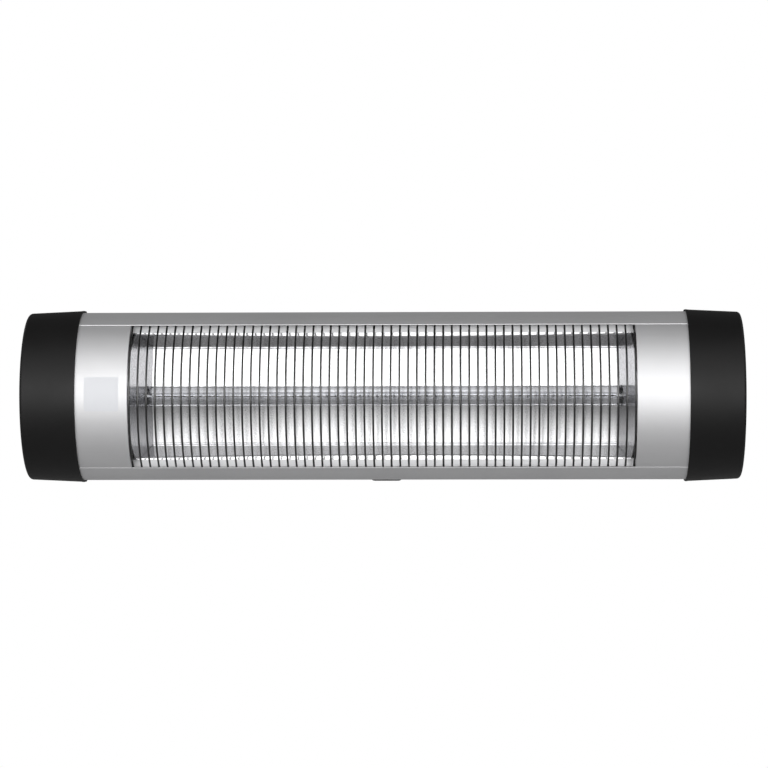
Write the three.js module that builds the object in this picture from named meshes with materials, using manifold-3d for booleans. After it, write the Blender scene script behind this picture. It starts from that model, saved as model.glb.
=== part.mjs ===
// An electric bar heater for a wall: a half-round aluminium body with a quartz lamp in a mirror
// trough behind a guard of bent wires, black end caps, and a bracket that lets the body tilt down.
// Millimetres. +X is the viewer's right, the heater faces -Y, +Z is up. The wall is the plane
// y = 0, and the origin is on the wall bracket's back face, level with the tilt pivot.
import * as THREE from "three";
import { mergeVertices } from "three/addons/utils/BufferGeometryUtils.js";
import Module from "manifold-3d";

const wasm = await Module();
wasm.setup();

// ---- Driving dimensions ---------------------------------------------------------------------

// Body section, drawn as (depth towards the front, height) about the axis of its half round.
const BODY_RADIUS = 83.5;
const BODY_BACK = 22; // axis to the flat back
const BACK_CORNER = 8; // radius of the two back edges
const HOUSING_WALL = 2.2;
const LIP_DROP = 13.7; // the front lips end this much inside the body's half height
const FACET = 7.5; // degrees of arc to one facet on large rounds
const GAP = 0.3; // clearance between pieces that touch
const FIT = 0.4; // clearance round what slides in or turns

// Lengths along X.
const OPENING_LENGTH = 493; // first guard wire to last
const COVER_LENGTH = 57;
const CAP_LENGTH = 54.4;
const CAP_OVERLAP = 5.9; // how far the cap's rim reaches over the body

// Guard.
const WIRE_COUNT = 59;
const WIRE_RADIUS = 1;
const WIRE_INSET = 1.7; // the wire's centre line runs this much inside the housing's wall
const WIRE_STEPS = 7;
const BAR_WIDTH = 3;

// Flat ledges behind the lips. The guard's bars and the covers' tongues slide between the two.
const LEDGE_DEPTH = 32; // from the axis to the ledge's front face
const LEDGE_THICKNESS = 1.8;
const LEDGE_SHOWS = 7.3; // how far the ledge stands out past the lip
const GROOVE = 3.8; // room under the housing's wall

// Front covers.
const COVER_SHEET = 2.2;
const COVER_DROP = 0.2; // the covers lie this much below the lips
const TONGUE_THICKNESS = 2.4;
const TONGUE_FROM = 52; // degrees above the horizontal
const COVER_HEM = 1.6;

// Mirror trough and its end cheeks.
const SHEET = 1;
const BEND_RADIUS = 1.6;
const TROUGH_CORNER_DROP = 21.3; // from the lip's height to the corner
const TROUGH_ROOM = 11; // from the body's flat back to the corner
const TROUGH_RIDGE = 4; // how far the ridge behind the lamp stands in front of the corners
const CHEEK_LAP = 1.1; // how far the cheek's front edge reaches under the cover
const CHEEK_LEAN = 16.5; // how much the cheek leans outwards on its way to the front
const CHEEK_CLEAR = 0.7; // from the guard's and the hem's inside to the cheek's front edge

// Lamp.
const LAMP_DEPTH = 8; // lamp axis in front of the body axis
const LAMP_RADIUS = 10;
const QUARTZ_WALL = 1.4;
const LAMP_INSET = 42.9; // from the body's end to the tube's end
const STRAND_RADIUS = 0.75;
const STRAND_INSET = 32; // from the tube's end to the strand's end
const CLAMP_LENGTH = 6;
const CLAMP_RADIUS = 2.2;
const STRAND_LEAD_RADIUS = 0.5;
const STRAND_LEAD_APART = 2.6;
const COIL_SEAT = [3, 2.6]; // length and radius of the plug that the thin leads end in
const SPIGOT = 6; // how far the ceramic end reaches into the tube
const CERAMIC_LENGTH = 20;
const CERAMIC_RADIUS = 11;
const CERAMIC_CHAMFER = 1.5;
const CLIP_SHEET = 1.5;
const CLIP_WIDTH = 12;
const CLIP_SET_BACK = 4; // from the tube's end to the clip
const CLIP_MOUTH = 50; // degrees either side of the front

// Screw ports: [depth, height] on the upper half, repeated on the lower one.
const PORTS = [
  [-11, BODY_RADIUS - 25.5],
  [10, BODY_RADIUS - 17.5],
];
const PORT_RADIUS = 4.5;
const SCREW_RADIUS = 1.9;
const SCREW_HEAD_RADIUS = 3.8;
const SCREW_HEAD = 2.6;
const SCREW_CHAMFER = 0.8;
const SCREW_REACH = 14; // how far the screws go into the ports

// Back slots for the bracket.
const SLOT_HEIGHT = 25; // centre of each slot above and below the axis
const SLOT_MOUTH = 6.6;
const SLOT_ROOM = [11.2, 4.6]; // height and depth behind the mouth
const SLOT_WALL = 1.4;

// End caps and end plates.
const RIM_LIP = 2; // the rim stands this much over the body
const CAP_WALL = 2.5;
const CAP_END_WALL = 3;
const CAP_DRAFT = 2.5; // how much the cap narrows on its way out
const CAP_CORNER = 3.5;
const PLATE_THICKNESS = 2;
const PLATE_INSET = 3.4;

// Brackets and tilt pivot.
const PIVOT_OUT = 46; // wall to pivot
const PIVOT_TO_BACK = 24; // pivot to the body's flat back
const PIVOT_RADIUS = 4;
const STEEL = 3;
const WALL_PLATE = [34, 140];
const WALL_PLATE_LOW = -87.5;
const WALL_HOLE_RADIUS = 3.5;
const WALL_HOLE_INSET = 14;
const WALL_EAR = 16; // half the ear's height, and the radius of its end
const TILT_EAR = 14;
const EAR_ROOT = [2, 6]; // how far out and up the ears widen where they meet their plate
const BOLT_TO_EDGE = 11; // from each bolt to the tilting plate's edge
const BOLT_RADIUS = 2.9;
const BOLT_HEAD = [5.8, 4]; // corner radius and thickness
const NUT_LENGTH = 14;
const PIVOT_HEX = 7.2; // corner radius
const PIVOT_HEAD = 5.3;
const PIVOT_NUT = 6.5;
const PIVOT_TIP = 1; // how far the bolt stands out of its nut
const WASHER = [8, 1.5]; // radius and thickness

// Switch in the right cap's end.
const SWITCH_HOLE = [15, 25]; // depth and height of the hole in the cap
const SWITCH_FLANGE = 2.4; // how far the bezel reaches over the hole's edge
const SWITCH_RECESS = 4.6;
const SWITCH_PLACE = [4, 0];
const SWITCH_DEPTH = 17;
const SWITCH_WELL = 8; // room under the bezel for the rocker
const BEZEL = 1.6;
const CASE_WALL = 1.4;
const BLADE = [7, 4.8, 0.8]; // length, width and thickness of a terminal blade
const BLADES_APART = 12;
const ROCKER_TILT = 7; // degrees either side of level
const ROCKER_CROWN = 3; // pivot to the bottom of the V
const ROCKER_KEEL = 3.4;
const ROCKER_SIDE = 1.6; // pivot down to the rocker's lower edges
const ROCKER_TAPER = 1;

// Cable gland in the right cap's back.
const GLAND_RADIUS = 8;
const GLAND_HEIGHT = -18;
const GLAND_INBOARD = 22; // from the cap's outer end
const GLAND_BORE = 3.6;
const GLAND_HEX = 11; // corner radius of the hexagon and of the nut inside
const GLAND_COLLAR = 9.6;
const GLAND_REACH = [4, 12, 16]; // cap to the dome nut's start, its shoulder and its end
const GLAND_INSIDE = 9; // how far the thread reaches past the cap's wall

// ---- Values that follow ---------------------------------------------------------------------

const DEG = Math.PI / 180;
const INNER_RADIUS = BODY_RADIUS - HOUSING_WALL;
const INNER_BACK = BODY_BACK - HOUSING_WALL;
const LIP_HEIGHT = BODY_RADIUS - LIP_DROP;
const LEDGE_LOW = LIP_HEIGHT - LEDGE_SHOWS;
const GROOVE_RADIUS = INNER_RADIUS - GROOVE;
const WIRE_ARC = INNER_RADIUS - WIRE_INSET;
const TROUGH_BACK = TROUGH_ROOM - BODY_BACK;
const TROUGH_CORNER = [TROUGH_BACK, LIP_HEIGHT - TROUGH_CORNER_DROP];
const CHEEK_FRONT_RADIUS = GROOVE_RADIUS - CHEEK_CLEAR;
const WIRE_PITCH = OPENING_LENGTH / (WIRE_COUNT - 1);
const COVER_EDGE = OPENING_LENGTH / 2 + WIRE_RADIUS + FIT;
const BODY_END = COVER_EDGE + COVER_LENGTH;
const CHEEK_FRONT_X = COVER_EDGE + CHEEK_LAP;
const CHEEK_BACK_X = CHEEK_FRONT_X - CHEEK_LEAN;
const LAMP_HALF_LENGTH = BODY_END - LAMP_INSET;
const STRAND_HALF_LENGTH = LAMP_HALF_LENGTH - STRAND_INSET;
const CAP_RIM = BODY_END - CAP_OVERLAP;
const CAP_END = CAP_RIM + CAP_LENGTH;
const PLATE_IN = BODY_END + GAP;
const PLATE_OUT = PLATE_IN + PLATE_THICKNESS;
const CAP_FLOOR = CAP_END - CAP_END_WALL;
const AXIS_OUT = PIVOT_OUT + PIVOT_TO_BACK + BODY_BACK;
const PORT_PLACES = PORTS.flatMap(([u, v]) => [
  [u, v],
  [u, -v],
]);

// ---- Drawing helpers ------------------------------------------------------------------------

// A point of the section at a radius and an angle above the horizontal.
function polar(radius, degrees) {
  return new THREE.Vector2(radius * Math.cos(degrees * DEG), radius * Math.sin(degrees * DEG));
}

// The points of a round stretch, ends included.
function arc(centre, radius, from, to, facet = FACET) {
  const count = Math.max(1, Math.ceil(Math.abs(to - from) / facet - 1e-6));
  return Array.from({ length: count + 1 }, (_, i) =>
    polar(radius, from + ((to - from) * i) / count).add(new THREE.Vector2(...centre)),
  );
}

// The angle at which a circle about the axis reaches a height.
function angleAt(height, radius) {
  return Math.asin(height / radius) / DEG;
}

// The angle at which a circle about the axis comes back to a depth.
function angleBackTo(depth, radius) {
  return Math.acos(depth / radius) / DEG;
}

// The same outline below the axis, walked the other way.
function mirrored(points) {
  return points.map((p) => new THREE.Vector2(p.x, -p.y)).reverse();
}

function rectangle(uFrom, uTo, vFrom, vTo) {
  return [
    new THREE.Vector2(uFrom, vFrom),
    new THREE.Vector2(uTo, vFrom),
    new THREE.Vector2(uTo, vTo),
    new THREE.Vector2(uFrom, vTo),
  ];
}

// The body's outline moved in by an inset: half round in front, flat behind.
function bodyOutline(inset) {
  const r = BODY_RADIUS - inset;
  const back = BODY_BACK - inset;
  const corner = Math.max(BACK_CORNER - inset, 2);
  return [
    ...arc([0, 0], r, -90, 90),
    ...arc([corner - back, r - corner], corner, 90, 180, 30),
    ...arc([corner - back, corner - r], corner, 180, 270, 30),
  ];
}

// The outline of a bent sheet, from the line down its middle.
function sheetOutline(line, thickness) {
  const side = (sign) =>
    line.map((p, i) => {
      const before = line[Math.max(i - 1, 0)];
      const after = line[Math.min(i + 1, line.length - 1)];
      const inward = p.clone().sub(i ? before : p.clone().multiplyScalar(2).sub(after)).normalize();
      const onward = (i < line.length - 1 ? after.clone().sub(p) : inward.clone()).normalize();
      const along = inward.clone().add(onward).normalize();
      const reach = thickness / 2 / Math.max(along.dot(inward), 0.3);
      return new THREE.Vector2(p.x - sign * along.y * reach, p.y + sign * along.x * reach);
    });
  return [...side(1), ...side(-1).reverse()];
}

// ---- Solids ---------------------------------------------------------------------------------

// Turns a drawn section so that it faces along X: depth goes to -Y and height to +Z.
const SECTION = new THREE.Matrix4().makeBasis(
  new THREE.Vector3(0, -1, 0),
  new THREE.Vector3(0, 0, 1),
  new THREE.Vector3(-1, 0, 0),
);

function solid(geometry) {
  const bare = geometry.clone();
  bare.deleteAttribute("normal");
  bare.deleteAttribute("uv");
  const merged = mergeVertices(bare, 1e-4);
  return new wasm.Manifold(
    new wasm.Mesh({
      numProp: 3,
      vertProperties: merged.attributes.position.array,
      triVerts: new Uint32Array(merged.index.array),
    }),
  );
}

function geometryOf(manifold) {
  const { vertProperties, triVerts, numProp } = manifold.getMesh();
  const made = new THREE.BufferGeometry();
  made.setAttribute("position", new THREE.BufferAttribute(vertProperties, numProp));
  made.setIndex(new THREE.BufferAttribute(triVerts, 1));
  made.computeVertexNormals();
  return made;
}

// A section, with any holes, drawn out between two places along X.
function alongX(points, xFrom, xTo, holes = []) {
  const shape = new THREE.Shape(points);
  shape.holes = holes.map((hole) => new THREE.Path(hole));
  const options = { depth: xTo - xFrom, bevelEnabled: false };
  return solid(new THREE.ExtrudeGeometry(shape, options).applyMatrix4(SECTION).translate(xTo, 0, 0));
}

// A turned piece about the line through (depth, height) along X, from [x, radius] pairs.
function turned(profile, [depth, height], sides = 12) {
  const points = profile.map(([x, radius]) => new THREE.Vector2(radius, x));
  const made = new THREE.LatheGeometry(points, sides).rotateZ(-Math.PI / 2);
  return solid(made.translate(0, -depth, height));
}

// A turned piece about a line along Y, from [y, radius] pairs.
function turnedInY(profile, x, z, sides = 12) {
  const points = profile.map(([y, radius]) => new THREE.Vector2(radius, y));
  return solid(new THREE.LatheGeometry(points, sides).translate(x, 0, z));
}

function rod(xFrom, xTo, radius, place, sides = 12) {
  return turned([[xFrom, 0], [xFrom, radius], [xTo, radius], [xTo, 0]], place, sides);
}

function rodInY(yFrom, yTo, radius, x, z, sides = 12) {
  return turnedInY([[yFrom, 0], [yFrom, radius], [yTo, radius], [yTo, 0]], x, z, sides);
}

function block(xFrom, xTo, depthFrom, depthTo, vFrom, vTo) {
  const made = new THREE.BoxGeometry(xTo - xFrom, depthTo - depthFrom, vTo - vFrom);
  return solid(made.translate((xFrom + xTo) / 2, -(depthFrom + depthTo) / 2, (vFrom + vTo) / 2));
}

// A closed solid through body outlines at different x, each [x, inset]; the outlines are convex.
function loft(rings) {
  const outlines = rings.map(([, inset]) => bodyOutline(inset));
  const count = outlines[0].length;
  const positions = rings.flatMap(([x], r) => outlines[r].flatMap((p) => [x, -p.x, p.y]));
  const index = [];
  for (let r = 0; r < rings.length - 1; r++) {
    for (let i = 0; i < count; i++) {
      const a = r * count + i;
      const b = r * count + ((i + 1) % count);
      index.push(a, a + count, b, b, a + count, b + count);
    }
  }
  const last = (rings.length - 1) * count;
  for (let i = 1; i < count - 1; i++) {
    index.push(0, i, i + 1, last, last + i + 1, last + i);
  }
  const made = new THREE.BufferGeometry();
  made.setAttribute("position", new THREE.Float32BufferAttribute(positions, 3));
  made.setIndex(index);
  return solid(made);
}

// A round cable through hand-placed points [x, depth, height].
function cable(points, radius, steps) {
  const path = new THREE.CatmullRomCurve3(points.map(([x, u, v]) => new THREE.Vector3(x, -u, v)));
  const round = new THREE.Shape(arc([0, 0], radius, 0, 360, 60).slice(0, -1));
  return solid(new THREE.ExtrudeGeometry(round, { steps, extrudePath: path, bevelEnabled: false }));
}

// ---- The scene graph ------------------------------------------------------------------------

const heater = new THREE.Group();
const head = new THREE.Group(); // all that tilts, drawn about the body's axis
head.position.set(0, -AXIS_OUT, 0);
heater.add(head);

const FINISH = {
  satinAluminium: [0xd6d6d8, 0.36, 1],
  mirror: [0xf2f3f5, 0.06, 1],
  sheetSteel: [0xb9bbbd, 0.45, 1],
  blackWire: [0x101011, 0.3, 0.2],
  blackPlastic: [0x1e1d1e, 0.5, 0],
  darkSteel: [0x2c2d2f, 0.55, 0.6],
  zinc: [0xc3c5c6, 0.35, 1],
  quartz: [0xe9edf0, 0.04, 0],
  carbon: [0x2a2725, 0.8, 0],
  ceramic: [0xece8df, 0.6, 0],
  whitePlastic: [0xe8e6e0, 0.5, 0],
  brownLead: [0x6b4a2e, 0.6, 0],
  earthLead: [0x7f9a3a, 0.6, 0],
};

function add(group, name, manifold, finish, mirrorX = false) {
  const [color, roughness, metalness] = FINISH[finish];
  const material = new THREE.MeshStandardMaterial({ color, roughness, metalness });
  const mesh = new THREE.Mesh(geometryOf(manifold), material);
  mesh.name = name;
  if (mirrorX) mesh.scale.x = -1;
  group.add(mesh);
  return mesh;
}

// A piece drawn on the right, and its mirror image on the left.
function addPair(name, manifold, finish) {
  add(head, name + "_right", manifold, finish);
  add(head, name + "_left", manifold, finish, true);
}

// ---- Housing --------------------------------------------------------------------------------

// The bent wall, open in front between its two lips.
function housingWall() {
  const side = (inset) => {
    const r = BODY_RADIUS - inset;
    const back = BODY_BACK - inset;
    const corner = BACK_CORNER - inset;
    const upper = [
      ...arc([0, 0], r, angleAt(LIP_HEIGHT, r), 90),
      ...arc([corner - back, r - corner], corner, 90, 180, 30),
    ];
    return [...upper, ...mirrored(upper)];
  };
  return alongX([...side(0), ...side(HOUSING_WALL).reverse()], -BODY_END, BODY_END);
}

// The flat ledge behind the upper lip hangs from the middle of the wall.
function ledgeOutline() {
  const top = Math.sqrt((INNER_RADIUS + HOUSING_WALL / 2) ** 2 - LEDGE_DEPTH ** 2);
  return rectangle(LEDGE_DEPTH - LEDGE_THICKNESS, LEDGE_DEPTH, LEDGE_LOW, top);
}

// A screw port stands on a rib from the nearest wall.
function portAndRib([u, v]) {
  const ring = rod(-BODY_END, BODY_END, PORT_RADIUS, [u, v], 12);
  const rib = HOUSING_WALL / 2;
  const wall = Math.sign(v) * (INNER_RADIUS + rib);
  const ribOutline =
    u < 0
      ? rectangle(-INNER_BACK - rib, u, v - rib, v + rib)
      : rectangle(u - rib, u + rib, Math.min(v, wall), Math.max(v, wall));
  return ring.add(alongX(ribOutline, -BODY_END, BODY_END));
}

function slotBlock(v) {
  const half = SLOT_ROOM[0] / 2 + SLOT_WALL;
  const deep = SLOT_ROOM[1] + SLOT_WALL;
  const outline = rectangle(-INNER_BACK - SLOT_WALL, -INNER_BACK + deep, v - half, v + half);
  return alongX(outline, -BODY_END, BODY_END);
}

function slotCut(v) {
  const mouth = rectangle(-BODY_BACK - 1, -INNER_BACK + 1, v - SLOT_MOUTH / 2, v + SLOT_MOUTH / 2);
  const [high, deep] = SLOT_ROOM;
  const room = rectangle(-INNER_BACK, -INNER_BACK + deep, v - high / 2, v + high / 2);
  const past = BODY_END + 1;
  return alongX(mouth, -past, past).add(alongX(room, -past, past));
}

function rearHousing() {
  const ledge = ledgeOutline();
  let made = housingWall()
    .add(alongX(ledge, -BODY_END, BODY_END))
    .add(alongX(mirrored(ledge), -BODY_END, BODY_END));
  for (const place of PORT_PLACES) made = made.add(portAndRib(place));
  for (const v of [SLOT_HEIGHT, -SLOT_HEIGHT]) made = made.add(slotBlock(v)).subtract(slotCut(v));
  const boreRadius = SCREW_RADIUS + FIT;
  for (const place of PORT_PLACES) {
    made = made.subtract(rod(-BODY_END - 1, BODY_END + 1, boreRadius, place, 8));
  }
  return made;
}

add(head, "rear_housing", rearHousing(), "satinAluminium");

// ---- Front covers ---------------------------------------------------------------------------

// The covers follow the body's round, and their tongues slide in the housing's grooves.
function coverOutline() {
  const outer = BODY_RADIUS - COVER_DROP;
  const inner = outer - COVER_SHEET;
  const tongueOut = INNER_RADIUS - FIT - 0.1;
  const edge = LIP_HEIGHT - FIT;
  const tongueIn = tongueOut - TONGUE_THICKNESS;
  const tongueTo = angleBackTo(LEDGE_DEPTH + 2 * FIT, tongueIn);
  return [
    ...arc([0, 0], outer, 0, angleAt(edge, outer)),
    ...arc([0, 0], tongueOut, angleAt(edge, tongueOut), tongueTo),
    ...arc([0, 0], tongueIn, tongueTo, TONGUE_FROM),
    ...arc([0, 0], inner, TONGUE_FROM, 0),
  ];
}

function frontCover() {
  const half = alongX(coverOutline(), COVER_EDGE, BODY_END);
  const lower = alongX(mirrored(coverOutline()), COVER_EDGE, BODY_END);
  const hemOut = BODY_RADIUS - COVER_DROP - COVER_SHEET / 2;
  const hemIn = GROOVE_RADIUS + FIT;
  const hem = [
    ...arc([0, 0], hemOut, -TONGUE_FROM, TONGUE_FROM),
    ...arc([0, 0], hemIn, TONGUE_FROM, -TONGUE_FROM),
  ];
  return half.add(lower).add(alongX(hem, COVER_EDGE, COVER_EDGE + COVER_HEM));
}

addPair("front_cover", frontCover(), "satinAluminium");

// ---- Guard ----------------------------------------------------------------------------------

// Each bar runs just in front of the ledge. Its sides are at these radii and angles.
const BAR_IN = GROOVE_RADIUS + FIT;
const BAR_OUT = INNER_RADIUS - FIT;
const BAR_TO = angleBackTo(LEDGE_DEPTH + FIT, BAR_IN);
const BAR_FROM = BAR_TO - BAR_WIDTH / WIRE_ARC / DEG;
const WIRE_END = 0.4; // degrees that the wire runs into the bar

class WireArc extends THREE.Curve {
  getPoint(t) {
    const p = polar(WIRE_ARC, (BAR_FROM + WIRE_END) * (2 * t - 1));
    return new THREE.Vector3(0, -p.x, p.y);
  }
}

// The bent wires run into a bar above and a bar below, which sit in the housing's grooves. Their
// section has few corners, so they lie a little outside the wire's round.
function guardGrille() {
  const section = new THREE.Shape(arc([0, 0], WIRE_RADIUS * 1.06, 0, 360, 72).slice(0, -1));
  const options = { steps: WIRE_STEPS, extrudePath: new WireArc(), bevelEnabled: false };
  const wire = new THREE.ExtrudeGeometry(section, options);
  const bar = [
    polar(BAR_IN, BAR_FROM),
    polar(BAR_OUT, BAR_FROM),
    polar(BAR_OUT, BAR_TO),
    polar(BAR_IN, BAR_TO),
  ];
  const barEnd = OPENING_LENGTH / 2 + WIRE_RADIUS;
  let made = alongX(bar, -barEnd, barEnd).add(alongX(mirrored(bar), -barEnd, barEnd));
  for (let i = 0; i < WIRE_COUNT; i++) {
    const x = -OPENING_LENGTH / 2 + i * WIRE_PITCH;
    made = made.add(solid(wire.clone().translate(x, 0, 0)));
  }
  return made;
}

add(head, "guard_grille", guardGrille(), "blackWire");

// ---- Mirror trough --------------------------------------------------------------------------

// The trough's middle line on the upper half: a flat flange behind the ledge, a tight bend, a
// slanting wall to the corner, and a shallow scoop that rises to a ridge behind the lamp. The
// scoop's depth goes with the square of the way that is left to the corner.
function troughLine() {
  const flange = LEDGE_DEPTH - LEDGE_THICKNESS - GAP - SHEET / 2;
  const bend = new THREE.Vector2(flange - BEND_RADIUS, LEDGE_LOW - SHEET / 2);
  const corner = new THREE.Vector2(...TROUGH_CORNER);
  const wall = Math.atan2(bend.y - BEND_RADIUS - corner.y, bend.x - corner.x) / DEG;
  const steps = 8;
  const back = Array.from({ length: steps }, (_, i) => {
    const share = (i + 1) / steps;
    return new THREE.Vector2(TROUGH_BACK + TROUGH_RIDGE * share ** 2, corner.y * (1 - share));
  });
  return [
    new THREE.Vector2(flange, LIP_HEIGHT),
    ...arc([bend.x, bend.y], BEND_RADIUS, 0, wall - 90, 33),
    corner,
    ...back,
  ];
}

function reflector() {
  const upper = troughLine();
  const line = [...upper, ...mirrored(upper).slice(1)];
  return alongX(sheetOutline(line, SHEET), -CHEEK_FRONT_X, CHEEK_FRONT_X);
}

add(head, "reflector", reflector(), "mirror");

// A cheek closes each end of the trough. It leans outwards to the front, reaches under the cover
// there, and lets the lamp through.
function cheekOutline() {
  const inset = SHEET / 2 + FIT;
  const upper = troughLine();
  const cornerAt = upper.findIndex((p) => p.y === TROUGH_CORNER[1]);
  const bendEnd = upper[cornerAt - 1];
  const top = LEDGE_LOW - 2 * GAP;
  const inside = [
    new THREE.Vector2(LEDGE_DEPTH - LEDGE_THICKNESS + FIT, top),
    new THREE.Vector2(bendEnd.x, bendEnd.y - inset * 1.2),
    new THREE.Vector2(TROUGH_CORNER[0] + inset * 1.1, TROUGH_CORNER[1] - inset),
    ...upper.slice(cornerAt + 1).map((p) => new THREE.Vector2(p.x + inset * 1.1, p.y)),
  ];
  const front = arc([0, 0], CHEEK_FRONT_RADIUS, 0, angleAt(top, CHEEK_FRONT_RADIUS));
  return [...front, ...inside];
}

function reflectorCheek() {
  const half = cheekOutline();
  const past = CHEEK_LEAN; // the outline and the hole are drawn this much past the plate
  const fill = alongX(
    [...half, ...mirrored(half).slice(1, -1)],
    CHEEK_BACK_X - past, CHEEK_FRONT_X + past,
  );
  const rise = CHEEK_FRONT_RADIUS - TROUGH_BACK;
  const slab = new THREE.BoxGeometry(SHEET, rise * 2, BODY_RADIUS * 2)
    .rotateZ(Math.atan2(CHEEK_LEAN, rise))
    .translate(CHEEK_BACK_X + CHEEK_LEAN / 2, -(TROUGH_BACK + rise / 2), 0);
  const bore = LAMP_RADIUS + 3 * FIT;
  const hole = rod(CHEEK_BACK_X - past, CHEEK_FRONT_X + past, bore, [LAMP_DEPTH, 0], 16);
  return fill.intersect(solid(slab)).subtract(hole);
}

addPair("reflector_cheek", reflectorCheek(), "mirror");

// ---- Lamp -----------------------------------------------------------------------------------

const LAMP_PLACE = [LAMP_DEPTH, 0];

function lampTube() {
  const inside = LAMP_RADIUS - QUARTZ_WALL;
  const end = LAMP_HALF_LENGTH;
  const wall = [[-end, inside], [-end, LAMP_RADIUS], [end, LAMP_RADIUS], [end, inside], [-end, inside]];
  return turned(wall, LAMP_PLACE, 20);
}

// A clamp on the strand's end, and two thin leads from it to a plug against the ceramic end.
function strandEnd() {
  const clampIn = STRAND_HALF_LENGTH + GAP;
  const clampOut = clampIn + CLAMP_LENGTH;
  const plugOut = LAMP_HALF_LENGTH - SPIGOT - GAP;
  const [plugLength, plugRadius] = COIL_SEAT;
  let made = rod(clampIn, clampOut, CLAMP_RADIUS, LAMP_PLACE, 10);
  made = made.add(rod(plugOut - plugLength, plugOut, plugRadius, LAMP_PLACE, 10));
  for (const v of [STRAND_LEAD_APART / 2, -STRAND_LEAD_APART / 2]) {
    const into = plugLength / 2;
    const place = [LAMP_DEPTH, v];
    made = made.add(rod(clampOut - into, plugOut - into, STRAND_LEAD_RADIUS, place, 6));
  }
  return made;
}

// The ceramic end plugs into the tube; a flange stops it, and the lead leaves at the back.
function ceramicEnd() {
  const spigot = LAMP_HALF_LENGTH - SPIGOT;
  const flange = LAMP_HALF_LENGTH + GAP;
  const end = flange + CERAMIC_LENGTH;
  const profile = [
    [spigot, 0],
    [spigot, LAMP_RADIUS - QUARTZ_WALL - FIT],
    [flange, LAMP_RADIUS - QUARTZ_WALL - FIT],
    [flange, CERAMIC_RADIUS],
    [end - CERAMIC_CHAMFER, CERAMIC_RADIUS],
    [end, CERAMIC_RADIUS - CERAMIC_CHAMFER],
    [end, 0],
  ];
  return turned(profile, LAMP_PLACE, 14);
}

// A sprung clip, open to the front, on a foot against the housing's back.
function lampClip() {
  const inside = CERAMIC_RADIUS + FIT;
  const outside = inside + CLIP_SHEET;
  const xFrom = LAMP_HALF_LENGTH + CLIP_SET_BACK;
  const xTo = xFrom + CLIP_WIDTH;
  const jaw = [
    ...arc(LAMP_PLACE, outside, CLIP_MOUTH, 360 - CLIP_MOUTH, 20),
    ...arc(LAMP_PLACE, inside, 360 - CLIP_MOUTH, CLIP_MOUTH, 20),
  ];
  const seat = -INNER_BACK + GAP;
  const web = rectangle(seat, LAMP_DEPTH - inside - CLIP_SHEET / 2, -CLIP_SHEET, CLIP_SHEET);
  const foot = rectangle(seat, seat + CLIP_SHEET, -CERAMIC_RADIUS, CERAMIC_RADIUS);
  return alongX(jaw, xFrom, xTo).add(alongX(web, xFrom, xTo)).add(alongX(foot, xFrom, xTo));
}

add(head, "lamp_tube", lampTube(), "quartz");
const strand = rod(-STRAND_HALF_LENGTH, STRAND_HALF_LENGTH, STRAND_RADIUS, LAMP_PLACE, 6);
add(head, "carbon_strand", strand, "carbon");
addPair("strand_end", strandEnd(), "zinc");
addPair("lamp_end", ceramicEnd(), "ceramic");
addPair("lamp_clip", lampClip(), "zinc");

// ---- End plates and caps --------------------------------------------------------------------

const LEAD_HOLE_RADIUS = 5;
const LOWER_LEAD = [0, 15.5 - BODY_RADIUS]; // where the far end's lead runs, under the trough

function endPlate(leadPlaces) {
  const hole = (place, radius) => arc(place, radius, 0, 360, 45).slice(0, -1);
  const holes = [
    ...PORT_PLACES.map((place) => hole(place, SCREW_RADIUS + FIT)),
    ...leadPlaces.map((place) => hole(place, LEAD_HOLE_RADIUS)),
  ];
  return alongX(bodyOutline(PLATE_INSET), PLATE_IN, PLATE_OUT, holes);
}

// The outside of a cap: a little draft, then a round edge to the flat end.
function capOutside() {
  const roundFrom = CAP_END - CAP_CORNER;
  const fillet = [22.5, 45, 67.5, 90].map((a) => [
    roundFrom + CAP_CORNER * Math.sin(a * DEG),
    CAP_DRAFT - RIM_LIP + CAP_CORNER * (1 - Math.cos(a * DEG)),
  ]);
  return loft([[CAP_RIM, -RIM_LIP], [roundFrom, CAP_DRAFT - RIM_LIP], ...fillet]);
}

// The inside: a rebate that slips over the body, then the room for the wiring.
function capInside() {
  const rebateTo = PLATE_IN;
  const rebate = loft([[CAP_RIM - 1, -FIT], [rebateTo, -FIT]]);
  const roundFrom = CAP_END - CAP_CORNER;
  const slope = CAP_DRAFT / (roundFrom - CAP_RIM);
  const startInset = CAP_WALL - RIM_LIP + slope * (rebateTo - CAP_RIM);
  const roomInset = CAP_DRAFT - RIM_LIP + CAP_WALL;
  const corner = CAP_CORNER - CAP_WALL;
  const room = loft([
    [rebateTo - 1, startInset],
    [CAP_FLOOR - corner, roomInset],
    [CAP_FLOOR - corner * 0.3, roomInset + corner * 0.3],
    [CAP_FLOOR, roomInset + corner],
  ]);
  return rebate.add(room);
}

function capBoss(place) {
  return rod(PLATE_OUT + GAP, CAP_FLOOR + 1, PORT_RADIUS, place, 10);
}

function capScrewCut(place) {
  const shaft = rod(PLATE_OUT - 1, CAP_END + 1, SCREW_RADIUS + FIT, place, 8);
  const head = rod(CAP_END - SCREW_HEAD, CAP_END + 1, SCREW_HEAD_RADIUS + FIT, place, 12);
  return shaft.add(head);
}

function endCap() {
  let made = capOutside().subtract(capInside());
  for (const place of PORT_PLACES) made = made.add(capBoss(place)).subtract(capScrewCut(place));
  return made;
}

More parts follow.
